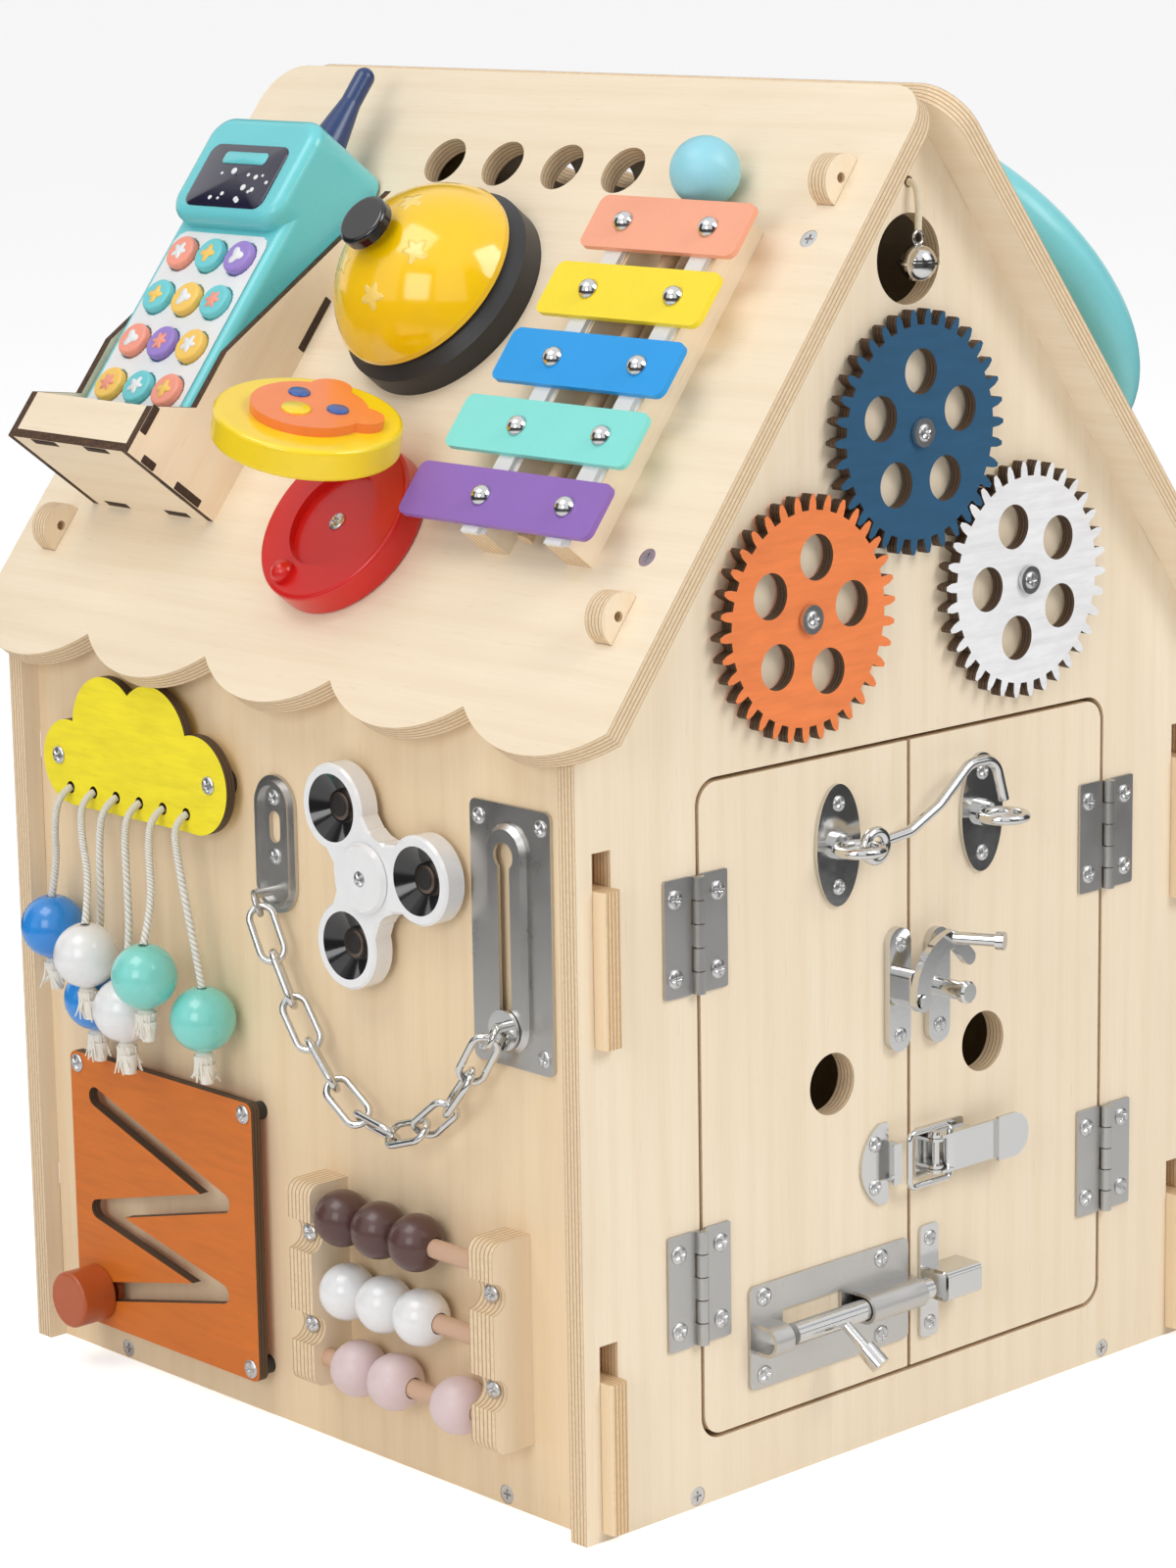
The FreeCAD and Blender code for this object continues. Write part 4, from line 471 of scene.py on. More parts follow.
def plywood(name, through, grain, offset, thickness=PLY, burn=0.0, tint=(1.0, 1.0, 1.0)):
    """Birch plywood that lies across one direction, from an offset along it."""
    tree, shader, coords = start_material(name)
    out = use_group(tree, "plywood", {
        "Point": coords["Object"], "Normal": coords["Normal"], "Through": tuple(through),
        "Grain": tuple(grain), "Across": tuple(np.cross(through, grain)), "Offset": offset,
        "Thickness": thickness, "Burn": burn})
    tinted = blend(tree, 1.0, out["Color"], (*tint, 1), "MULTIPLY")
    tree.links.new(tinted, shader.inputs["Base Color"])
    shader.inputs["Roughness"].default_value = 0.6
    shader.inputs["Specular IOR Level"].default_value = 0.28
    bump(tree, shader, out["Height"], 0.22, 0.3 * MM)


def cut_paint(name, paint, through, offset, thickness):
    """Painted plywood cut by laser."""
    tree, shader, coords = start_material(name)
    out = use_group(tree, "cut_paint", {
        "Point": coords["Object"], "Normal": coords["Normal"], "Through": tuple(through),
        "Paint": (*paint, 1), "Offset": offset, "Thickness": thickness})
    tree.links.new(out["Color"], shader.inputs["Base Color"])
    shader.inputs["Roughness"].default_value = 0.55
    bump(tree, shader, out["Height"], 0.15)


def metal(name, colour, rough, brush=(400.0, 400.0, 400.0), depth=0.05, strength=0.05):
    """Bare metal with a brushed lay; its smudges are darker."""
    tree, shader, coords = start_material(name)
    out = use_group(tree, "metal_wear", {
        "Point": coords["Object"], "Brush": brush, "Base": rough, "Depth": depth})
    smudged = (*(0.6 * part for part in colour), 1)
    tree.links.new(blend(tree, out["Shade"], smudged, (*colour, 1)), shader.inputs["Base Color"])
    tree.links.new(out["Roughness"], shader.inputs["Roughness"])
    shader.inputs["Metallic"].default_value = 1.0
    bump(tree, shader, out["Height"], strength)


def coat(name, paint, rough=0.3, grain=900.0, clear=0.0, strength=0.04):
    """Paint or plastic: colour, roughness, fineness of its skin, clear coat and bump."""
    tree, shader, coords = start_material(name)
    out = use_group(tree, "even_coat", {
        "Point": coords["Object"], "Paint": (*paint, 1), "Grain": grain, "Base": rough})
    tree.links.new(out["Color"], shader.inputs["Base Color"])
    tree.links.new(out["Roughness"], shader.inputs["Roughness"])
    shader.inputs["Coat Weight"].default_value = clear
    shader.inputs["Coat Roughness"].default_value = 0.08
    bump(tree, shader, out["Height"], strength)


def rope(name, paint):
    """Twisted cotton."""
    tree, shader, coords = start_material(name)
    out = use_group(tree, "twist", {"Coordinate": coords["UV"], "Pitch": 46.0, "Paint": (*paint, 1)})
    tree.links.new(out["Color"], shader.inputs["Base Color"])
    shader.inputs["Roughness"].default_value = 0.85
    shader.inputs["Sheen Weight"].default_value = 0.3
    bump(tree, shader, out["Height"], 0.6, 0.6 * MM)


X, Y, Z = (1, 0, 0), (0, 1, 0), (0, 0, 1)
LEFT_UP, LEFT_OUT = AXES[roof_left][1:]
RIGHT_OUT = AXES[roof_right][2]
ROOF_FACE = ROOF_APEX * LEFT_OUT[2]      # distance of a roof's outer face from the origin
# Tint of the side walls: partly a warmer tone, partly painted shade for walls that take less light than the
# gable and roof
WALL_WARMTH_AND_SHADE = (0.95, 0.88, 0.78)
THICK_BOARD = 9.0 * MM
HOLDER_BOARD = 3.0 * MM
GEAR_T = 4.0 * MM
GEAR_BACK = FRONT - 1.2 * MM
BOARD_T = 3.5 * MM
BOARD_FACE = -WALL_X - 4.0 * MM


def wood_finishes():
    """Birch plywood, one finish for each way that a panel lies; the side walls are tinted warmer and darker,
    partly as painted shade.
    """
    plywood("ply_front", Y, Z, FRONT)
    plywood("ply_rear", Y, Z, -FRONT)
    # painted shade: both side walls take the warmer, darker tint
    plywood("ply_left", X, Z, -WALL_X, tint=WALL_WARMTH_AND_SHADE)
    plywood("ply_right", X, Z, WALL_X, tint=WALL_WARMTH_AND_SHADE)
    plywood("ply_floor", Z, X, 0.0)
    plywood("ply_left_roof", LEFT_OUT, Y, ROOF_FACE)
    plywood("ply_right_roof", RIGHT_OUT, Y, ROOF_FACE)
    plywood("ply_abacus", Y, Z, 0.0, THICK_BOARD)
    plywood("ply_rail", Y, LEFT_UP, 0.0, THICK_BOARD)
    plywood("ply_cheek", Y, LEFT_UP, -HOLD_SIDE * MM, HOLDER_BOARD, 1.0)
    plywood("ply_pocket_floor", LEFT_UP, Y, 0.0, HOLDER_BOARD, 1.0)
    plywood("ply_pocket_lip", LEFT_OUT, Y, ROOF_FACE, HOLDER_BOARD, 1.0)


def board_finishes(paints):
    """Painted and laser-cut gears and boards."""
    cut_paint("gear_blue", paints.blue_gear, Y, GEAR_BACK, GEAR_T)
    cut_paint("gear_orange", paints.orange_gear, Y, GEAR_BACK, GEAR_T)
    cut_paint("gear_white", paints.white_gear, Y, GEAR_BACK, GEAR_T)
    cut_paint("cloud_yellow", paints.cloud, X, BOARD_FACE, BOARD_T)
    cut_paint("maze_orange", paints.maze, X, BOARD_FACE, BOARD_T)


def metal_finishes():
    """Bare metals: colour, roughness, fineness of the lay on each axis, its depth and the bump."""
    metal("brushed_steel", (0.55, 0.545, 0.53), 0.26, (60.0, 60.0, 2600.0), 0.12, 0.12)
    metal("pressed_steel", (0.60, 0.59, 0.57), 0.22, (900.0, 60.0, 60.0), 0.10, 0.08)
    metal("chrome", (0.70, 0.70, 0.69), 0.07)
    metal("bearing_race", (0.20, 0.15, 0.12), 0.3)
    metal("zinc_screw", (0.66, 0.66, 0.66), 0.24)


# Colour, roughness, fineness of the skin, clear coat and bump
COATS = {
    "dowel": ((0.62, 0.40, 0.27), 0.5, 1200.0, 0.0, 0.2),
    "maze_knob": ((0.48, 0.095, 0.018), 0.38, 500.0, 0.3),
    "black_spacer": ((0.02, 0.02, 0.02), 0.4),
    "burnt_wood": ((0.045, 0.022, 0.012), 0.7, 700.0, 0.0, 0.3),
    # painted shade: near-black for the disc in the hole of each bearing race
    "painted_hole_shade": ((0.015, 0.013, 0.012), 0.6),
    "white_gloss": ((0.86, 0.86, 0.86), 0.16, 300.0, 0.5),
    "black_gloss": ((0.010, 0.010, 0.011), 0.12, 300.0, 0.6),
    "black_matt": ((0.022, 0.022, 0.024), 0.42),
    "white_felt": ((0.80, 0.79, 0.77), 0.9, 2600.0, 0.0, 0.5),
    "bar_salmon": ((0.93, 0.40, 0.25), 0.4),
    "bar_yellow": ((0.95, 0.74, 0.025), 0.4),
    "bar_blue": ((0.008, 0.33, 0.80), 0.4),
    "bar_mint": ((0.24, 0.76, 0.69), 0.4),
    "bar_purple": ((0.27, 0.13, 0.47), 0.4),
    "bell_motif": ((0.93, 0.66, 0.14), 0.2, 220.0, 0.6),
    "castanet_orange": ((0.90, 0.22, 0.045), 0.35, 260.0, 0.4),
    "castanet_blue": ((0.03, 0.10, 0.36), 0.35, 260.0, 0.4),
    "mallet_ball": ((0.30, 0.66, 0.76), 0.4),
    "mallet_stick": ((0.60, 0.42, 0.26), 0.5, 1200.0, 0.0, 0.2),
    "antenna_navy": ((0.008, 0.035, 0.14), 0.3, 700.0, 0.2),
    "phone_white": ((0.84, 0.85, 0.85), 0.35),
    "phone_display": ((0.012, 0.010, 0.035), 0.12, 300.0, 0.5),
    "bead_blue": ((0.02, 0.26, 0.74), 0.25, 500.0, 0.5),
    "bead_white": ((0.84, 0.84, 0.84), 0.25, 500.0, 0.5),
    "bead_teal": ((0.22, 0.70, 0.63), 0.25, 500.0, 0.5),
    "bead_brown": ((0.095, 0.040, 0.034), 0.34, 500.0, 0.3),
    "bead_pink": ((0.74, 0.58, 0.58), 0.42, 500.0, 0.2),
    "frayed_cotton": ((0.88, 0.84, 0.75), 0.9, 2600.0, 0.0, 0.7),
    "cream_cord": ((0.78, 0.70, 0.52), 0.8, 2200.0, 0.0, 0.6),
}


def make_materials(paints):
    """Every finish on the object, kept by name."""
    wood_finishes()
    board_finishes(paints)
    metal_finishes()
    rope("cotton_rope", (0.88, 0.85, 0.78))
    for name, values in COATS.items():
        coat(name, *values)
    coat("bell_yellow", paints.bell, 0.14, 220.0, 0.5)
    coat("castanet_red", paints.castanet_base, 0.3, 260.0, 0.25)
    coat("castanet_yellow", paints.castanet_lid, 0.3, 260.0, 0.5)
    coat("phone_teal", paints.phone, 0.3, 700.0, 0.2)
    coat("wheel_teal", paints.wheel, 0.34, 700.0, 0.15)
    for i, key_paint in enumerate(KEY_PAINTS):
        coat("key_%d" % i, key_paint, 0.35)


# Painting the CAD nodes

def paint(name, material, *rules):
    """Gives a CAD node its material, and further ones where a mask over its faces' middles says so."""
    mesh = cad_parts[name].data
    mesh.materials.clear()
    mesh.materials.append(MATERIALS[material])
    centres = np.empty(len(mesh.polygons) * 3)
    mesh.polygons.foreach_get("center", centres)
    centres = centres.reshape(-1, 3)
    index = np.zeros(len(centres), dtype=np.int32)
    for i, (other, mask) in enumerate(rules, 1):
        mesh.materials.append(MATERIALS[other])
        index[mask(centres)] = i
    mesh.polygons.foreach_set("material_index", index)
    mesh.update()


# Surfaces

def make_object(name, verts, faces, material, smooth=True):
    """An object at the origin from places in the world."""
    mesh = bpy.data.meshes.new(name)
    mesh.from_pydata([tuple(v) for v in verts], [], faces)
    mesh.materials.append(MATERIALS[material])
    if smooth:
        mesh.polygons.foreach_set("use_smooth", [True] * len(mesh.polygons))
    mesh.update()
    obj = bpy.data.objects.new(name, mesh)
    bpy.context.scene.collection.objects.link(obj)
    return obj


def add_piece(name, verts, faces, material, body, smooth=True):
    """A visible piece that rides on a body."""
    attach(make_object(name, verts, faces, material, smooth), body)


def grid_faces(rows, columns, start=0):
    """Quads between rings of points: ring i's points j and j + 1 to the same two of ring i + 1."""
    faces = []
    for i in range(rows - 1):
        for j in range(columns):
            k = (j + 1) % columns
            faces.append((start + i * columns + j, start + i * columns + k,
                          start + (i + 1) * columns + k, start + (i + 1) * columns + j))
    return faces


def turns_of(count):
    """Angles round a circle, without the last, which would be the first again."""
    return np.linspace(0, 2 * pi, count, endpoint=False)


HEAD_RINGS, HEAD_SPOKES = 9, 48
HEAD_FALL = 0.55         # share of its height that a head falls to its rim
CROSS_HALF = 0.13        # half width, reach and depth of the driver's cross, as shares
CROSS_REACH = 0.66
CROSS_DEPTH = 0.75
FIRST_CROSS, NEXT_CROSS = 0.6, 1.3       # turn of the first cross, and how far each later one is from it


def screw_surface(radius, height, turn):
    """Pan head: z = h (1 - fall (r / R)^4), sunk where a cross reaches, with a straight rim below."""
    r = np.concatenate([np.linspace(0.0, 0.96, HEAD_RINGS), [1.0, 1.0]])[:, None] * radius
    a = turns_of(HEAD_SPOKES)[None, :]
    x, y = r * np.cos(a), r * np.sin(a)
    z = height * (1 - HEAD_FALL * (r / radius) ** 4) * np.ones_like(a)
    s, c = x * cos(turn) + y * sin(turn), -x * sin(turn) + y * cos(turn)
    arm = np.minimum(np.abs(s), np.abs(c)) < CROSS_HALF * radius
    z = z - CROSS_DEPTH * height * (arm & (r < CROSS_REACH * radius))
    z[-1] = 0.0
    z[-2] = height * 0.4
    return np.stack([x, y, z], axis=-1).reshape(-1, 3), grid_faces(r.shape[0], HEAD_SPOKES)


def screws(name, face, body, places, radius, height):
    """Pan-head screws at (u, v, w) places of one face, joined into one piece."""
    verts, faces = [], []
    for i, place in enumerate(places):
        head, quads = screw_surface(radius, height, FIRST_CROSS + NEXT_CROSS * i)
        start = len(verts) * len(head)
        faces += [tuple(k + start for k in q) for q in quads]
        verts.append(placed(face, head, place))
    add_piece(name, np.concatenate(verts), faces, "zinc_screw", body)


def disc_on(face, place, radius, height, material, name, body, edge=0.25, spokes=40):
    """Thin round plate with a rolled edge: profile (r, z) turned about the face normal."""
    r = np.array([0.0, radius - edge, radius - edge * 0.3, radius, radius])
    z = np.array([height, height, height - edge * 0.3, height - edge, 0.0])
    a = turns_of(spokes)
    points = np.stack([r[:, None] * np.cos(a), r[:, None] * np.sin(a), z[:, None] * np.ones_like(a)], -1)
    add_piece(name, placed(face, points.reshape(-1, 3), place), grid_faces(len(r), spokes), material, body)


def flat_shape(face, outline, w, height, material, name, body):
    """A thin slab from an outline of (u, v) points, drawn in towards its middle on top."""
    outline = np.array(outline, dtype=float)
    middle = outline.mean(axis=0)
    rings = [outline, outline, middle + (outline - middle) * 0.97, middle + (outline - middle) * 0.02]
    levels = [w, w + height * 0.7, w + height, w + height]
    points = [np.column_stack([ring, np.full(len(ring), level)]) for ring, level in zip(rings, levels)]
    verts = placed(face, np.concatenate(points))
    add_piece(name, verts, grid_faces(len(rings), len(outline)), material, body)


def rounded_outline(u0, u1, v0, v1, r, steps=8):
    """A rectangle whose corners are quarter circles."""
    points = []
    corners = ((u1 - r, v1 - r, 0), (u0 + r, v1 - r, 90), (u0 + r, v0 + r, 180), (u1 - r, v0 + r, 270))
    for cu, cv, first in corners:
        for i in range(steps + 1):
            a = radians(first + 90 * i / steps)
            points.append((cu + r * cos(a), cv + r * sin(a)))
    return points


# Cord routes, the same points as the part's own

def rope_route(i):
    """From a hole in the cloud, out and down to the top of its bead."""
    u, (bu, bv, bw) = ROPE_U[i], BEAD_AT[i]
    w = CLOUD_FACE
    top = bv + BEAD_R - 0.4
    return [(u, ROPE_TOP, w + 0.05), (u, ROPE_TOP - 2.0, w + 5.0),
            (u + (bu - u) * 0.22, ROPE_TOP - 12.0, w + 6.2 + (bw - w - 5) * 0.15),
            (u + (bu - u) * 0.62 + 0.8, top + 12.0, (w + 5 + bw) / 2 - 0.6), (bu, top, bw)]


def cord_curve(name, points, radius, material):
    """A round cord along the quadratic B-spline of its points."""
    curve = bpy.data.curves.new(name, "CURVE")
    curve.dimensions = "3D"
    curve.bevel_depth = radius
    curve.bevel_resolution = 5
    curve.resolution_u = 16
    curve.use_fill_caps = True
    spline = curve.splines.new("NURBS")
    spline.points.add(len(points) - 1)
    for i, p in enumerate(points):
        spline.points[i].co = (*p, 1.0)
    spline.order_u = 3
    spline.use_endpoint_u = True
    curve.materials.append(MATERIALS[material])
    obj = bpy.data.objects.new(name, curve)
    bpy.context.scene.collection.objects.link(obj)
    return obj


# Case and doors

CASE_FINISHES = {
    "front_gable": "ply_front", "rear_gable": "ply_rear", "left_wall": "ply_left", "right_wall": "ply_right",
    "floor_panel": "ply_floor", "left_roof": "ply_left_roof", "right_roof": "ply_right_roof",
    "case_screws": "zinc_screw", "left_door": "ply_front", "right_door": "ply_front",
}


def dress_case():
    """Plywood panels with visible plies, and the screws between them."""
    for name, material in CASE_FINISHES.items():
        paint(name, material)


def dress_hinges():
    """Brushed leaves and their screws, on the case and on each door."""
    for name in ("frame_hinge_leaves", "left_door_hinge_leaves", "right_door_hinge_leaves"):
        paint(name, "brushed_steel")
    heights = [z + dz for z in HINGE_Z for dz in (-HINGE_HOLE_Z, HINGE_HOLE_Z)]
    sides = {"frame": ("house", (-HINGE_U - HINGE_HOLE_U, HINGE_U + HINGE_HOLE_U)),
             "left": ("left_door", (-HINGE_U + HINGE_HOLE_U,)),
             "right": ("right_door", (HINGE_U - HINGE_HOLE_U,))}
    for side, (body, places) in sides.items():
        screws("hinge_screws_" + side, gable, body, [(u, z, LEAF_FACE) for u in places for z in heights],
               *HINGE_SCREW)


def dress_latches():
    """Pressed bracket, chromed latches, and their screws."""
    paint("bolt_bracket", "pressed_steel")
    for name in ("left_door_catches", "right_hook_eye", "right_door_strikes", "cabin_hook", "bolt_rod",
                 "swing_latch_base", "swing_latch_arm", "toggle_base", "toggle_lever", "toggle_loop"):
        paint(name, "chrome")
    for name, fixing in LATCH_SCREWS.items():
        screws(name, gable, *fixing)


# Front gable

def dress_gears():
    """Three painted gears and their screws."""
    for colour in ("blue", "orange", "white"):
        paint(colour + "_gear", "gear_" + colour)
    screws("gear_screws", gable, *GEAR_SCREWS)


def dress_posts():
    """Posts of the gears, the spinner and the steering wheel, which are one node."""
    def on_wall(c):
        return (c[:, 0] < -WALL_X) & (c[:, 1] > FRONT)

    def on_roof(c):
        return over(roof_right, 2, 0.0)(c) & (c[:, 0] > WHEEL_POST_X) & (c[:, 1] > FRONT)
    paint("pivot_posts", "zinc_screw", ("white_gloss", on_wall), ("wheel_teal", on_roof))


def dress_sleigh_bell():
    """The small bell in the gable's hole and its cord."""
    paint("jingle_bell", "chrome")
    paint("bell_cord", "cream_cord")


# Left wall

def dress_cloud(sizes):
    """Painted cloud on its spacers, with six strings of beads."""
    paint("cloud_board", "cloud_yellow", ("black_spacer", under(wall, 2, BOARD_BACK)))
    screws("cloud_screws", wall, *CLOUD_SCREWS)
    for n in range(3):
        dress_string_pair(n, sizes)


def dress_string_pair(n, sizes):
    """Two twisted cotton strings with frayed tails, each through one bead."""
    first, second = BEAD_AT[2 * n], BEAD_AT[2 * n + 1]
    middle = -(first[0] + second[0]) / 2 * MM
    body, beads = "rope_%d" % (n + 1), "rope_%d_beads" % (n + 1)

    def second_bead(c):
        return c[:, 1] < middle

    def knots(c):
        nearer = np.abs(c[:, 1] + first[0] * MM) < np.abs(c[:, 1] + second[0] * MM)
        foot = [(bead[1] - BEAD_R + 0.3) * MM for bead in (first, second)]
        return np.where(nearer, c[:, 2] < foot[0], c[:, 2] < foot[1])
    near_coat, far_coat = BEAD_COATS[n]
    paint(beads, near_coat, (far_coat, second_bead), ("frayed_cotton", knots))
    for i in (2 * n, 2 * n + 1):
        points = [tuple(wall(*p)) for p in rope_route(i)]
        string = cord_curve("string_%d" % (i + 1), points, STRING_R * MM, "cotton_rope")
        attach(string, body)
        if i % 2 == 0:
            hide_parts(body)
        fray(i, body, sizes)


STRAND_RINGS, STRAND_SIDES = 7, 6
STRAND_R = 0.55
STRAND_TAPER = 0.55      # share of its radius that a strand loses
TAIL_R = 2.9             # the strands start round this circle, so far below the bead
TAIL_DROP = 1.2
TAIL_SPREAD = (3.6, 1.6)         # how far they lean along the wall and out of it
SHORT_STRAND = 5.5
FRAY_SEED = 11


def fray(i, body, sizes):
    """Loose ends below the knot: thin strands whose radius narrows and whose line spreads as t squared."""
    u, v, w = BEAD_AT[i]
    rng = np.random.default_rng(FRAY_SEED + i)
    verts, faces = [], []
    t = np.linspace(0, 1, STRAND_RINGS)[:, None]
    a = turns_of(STRAND_SIDES)[None, :]
    for k in range(sizes.fray_strands):
        lean = rng.uniform(-1.0, 1.0, 2)
        drop = rng.uniform(SHORT_STRAND, sizes.fray_length)
        around = rng.uniform(0, 2 * pi)
        cu = u + TAIL_R * cos(around) + lean[0] * t ** 2 * TAIL_SPREAD[0]
        cw = w + TAIL_R * sin(around) + lean[1] * t ** 2 * TAIL_SPREAD[1]
        cv = v - BEAD_R - TAIL_DROP - drop * t
        r = STRAND_R * (1 - STRAND_TAPER * t)
        points = np.stack([cu + r * np.cos(a), cv + 0 * a, cw + r * np.sin(a)], -1).reshape(-1, 3)
        faces += grid_faces(STRAND_RINGS, STRAND_SIDES, k * STRAND_RINGS * STRAND_SIDES)
        verts.append(placed(wall, points))
    add_piece("fray_%d" % (i + 1), np.concatenate(verts), faces, "frayed_cotton", body)


def dress_door_chain():
    """Pressed plates, the chain and its slider."""
    paint("chain_plates", "pressed_steel")
    paint("chain_slider", "chrome")
    paint("door_chain", "chrome")
    screws("chain_screws", wall, *CHAIN_SCREWS)


def dress_spinner():
    """White three-lobed spinner with dark cups, a bearing race in each with a near-black disc of painted
    shade in its hole, and its screw.
    """
    bearings = [radians(SPIN_TURN + 120 * i) for i in range(3)]
    centres = [(SPIN_C[0] + SPIN_LOBE * cos(a), SPIN_C[1] + SPIN_LOBE * sin(a)) for a in bearings]

    def cups(c):
        u, v = along(wall, 0, c), along(wall, 1, c)
        near = np.zeros(len(c), dtype=bool)
        for cu, cv in centres:
            near |= np.hypot(u - cu, v - cv) < CUP_R
        return near & over(wall, 2, CUP_FLOOR)(c)
    paint("spinner", "white_gloss", ("black_gloss", cups))
    for i, centre in enumerate(centres, 1):
        # each race's second disc is painted shade for the hole in its middle
        for (w, radius, height), material, piece in ((RACE, "bearing_race", "ring"),
                                                     (RACE_HOLE_SHADE, "painted_hole_shade", "hole")):
            disc_on(wall, (*centre, w), radius, height, material, "spinner_%s_%d" % (piece, i), "spinner")
    screws("spinner_screw", wall, *SPIN_SCREW)


def dress_maze():
    """Painted maze board on its spacers, and the knob."""
    paint("maze_board", "maze_orange", ("black_spacer", under(wall, 2, BOARD_BACK)))
    paint("maze_knob", "maze_knob")
    screws("maze_screws", wall, *MAZE_SCREWS)


def dress_abacus():
    """Plywood brackets, dowels and three rows of beads."""
    low, high = DOWEL_Y
    paint("abacus_frame", "ply_abacus", ("dowel", lambda c: (c[:, 1] > low) & (c[:, 1] < high)))
    for row, material in (("top_beads", "bead_brown"), ("middle_beads", "bead_white"),
                          ("low_pair", "bead_pink"), ("low_bead", "bead_pink")):
        paint("abacus_" + row, material)
    screws("abacus_screws", wall, *ABACUS_SCREWS)


# Roof

def dress_xylophone():
    """Rails under felt, five coloured bars with domed screws, and the mallet."""
    def bar(i):
        return lambda c: np.abs(along(roof_left, 1, c) + BAR_TOP_S + BAR_PITCH * i) < BAR_REACH
    paint("xylophone_rails", "ply_rail", ("white_felt", over(roof_left, 2, RAIL_FACE)))
    bars = [(BARS[i], bar(i)) for i in range(1, len(BARS))]
    paint("xylophone_bars", BARS[0], *bars, ("chrome", over(roof_left, 2, BAR_FACE)))
    paint("mallet", "mallet_stick", ("mallet_ball", over(roof_left, 1, BALL_START)))


def dress_call_bell():
    """Black base, yellow dome with pale flowers, and the button."""
    paint("call_bell_base", "black_matt", ("chrome", over(roof_left, 2, BASE_TOP)))
    paint("call_bell_dome", "bell_yellow", ("chrome", over(roof_left, 2, DOME_COLLAR)))
    paint("call_bell_button", "black_gloss", ("chrome", under(roof_left, 2, BUTTON_FOOT)))
    for i, (bearing, tilt) in enumerate(FLOWERS, 1):
        bell_flower(i, radians(bearing), radians(tilt))


def bell_flower(i, bearing, tilt, petals=5, steps=60):
    """A flower lying on the dome: r = a(1 + 0.28 cos 5t), bent onto the sphere."""
    ball = (DOME_R ** 2 + DOME_RISE ** 2) / (2 * DOME_RISE)
    centre_w = DOME_FOOT + DOME_RISE - ball
    t = turns_of(steps)
    rings = []
    for share, lift in FLOWER_LEVELS:
        r = FLOWER_R * (1 + 0.28 * np.cos(petals * t)) * share / ball
        polar = tilt + r * np.cos(t)
        turn = bearing + r * np.sin(t) / sin(tilt)
        s = ball + lift
        u = BELL_C[0] + s * np.sin(polar) * np.cos(turn)
        v = BELL_C[1] + s * np.sin(polar) * np.sin(turn)
        rings.append(np.column_stack([u, v, centre_w + s * np.cos(polar)]))
    verts = placed(roof_left, np.concatenate(rings))
    add_piece("bell_flower_%d" % i, verts, grid_faces(len(rings), steps), "bell_motif", "house")


def dress_castanet():
    """Red base, and a yellow lid with a raised orange shape and three spots on its outer face."""
    paint("castanet_base", "castanet_red")
    screws("castanet_screw", roof_left, *LID_SCREW)
    u, v = LID_C
    hinge = np.array([u + LID_HINGE_R * cos(LID_DIR), v + LID_HINGE_R * sin(LID_DIR), LID_HINGE_W])
    axis = Vector((-sin(LID_DIR), cos(LID_DIR), 0))
    shutting = np.array(Matrix.Rotation(-LID_OPEN, 3, axis))
    opening = np.array(Matrix.Rotation(LID_OPEN, 3, axis))

    def raised(c):
        local = (c - roof_left(0, 0, 0)) @ np.array(AXES[roof_left]).T / MM - hinge
        return (local @ shutting.T + hinge)[:, 2] > RELIEF_START
    paint("castanet_lid", "castanet_yellow", ("castanet_orange", raised))
    for i, (du, dv, r, material) in enumerate(LID_SPOTS, 1):
        lid_spot(i, (u + du, v + dv), r, material, hinge, opening)


def lid_spot(i, centre, radius, material, hinge, opening, steps=32):
    """A round spot drawn on the shut lid and turned open with it."""
    t = turns_of(steps)
    rings = []
    for share, w in SPOT_LEVELS:
        r = radius * share
        points = np.column_stack([centre[0] + r * np.cos(t), centre[1] + r * np.sin(t), np.full(steps, w)])
        rings.append((points - hinge) @ opening.T + hinge)
    verts = placed(roof_left, np.concatenate(rings))
    add_piece("lid_spot_%d" % i, verts, grid_faces(len(rings), steps), material, "castanet_lid")


def dress_holder():
    """Thin plywood pocket with burnt joints."""
    def cheeks(c):
        return under(roof_left, 0, CHEEK_U[0])(c) | over(roof_left, 0, CHEEK_U[1])(c)

    def lip(c):
        return ~cheeks(c) & over(roof_left, 1, LIP_V)(c)
    paint("phone_holder", "ply_pocket_floor", ("ply_cheek", cheeks), ("ply_pocket_lip", lip))
    for name, face, tabs in (("side", holder_side, SIDE_TABS), ("front", holder_front, FRONT_TABS)):
        for i, tab in enumerate(tabs, 1):
            flat_shape(face, rounded_outline(*tab, TAB_ROUND, 3), TAB_FOOT, TAB_HEIGHT, "burnt_wood",
                       "holder_%s_tab_%d" % (name, i), "house")


def key_place(i):
    """Middle of a key, counted row by row from the top."""
    row, col = divmod(i, 3)
    return PHONE_U + (1 - col) * KEY_PITCH_U, KEY_TOP_V - row * KEY_PITCH_V


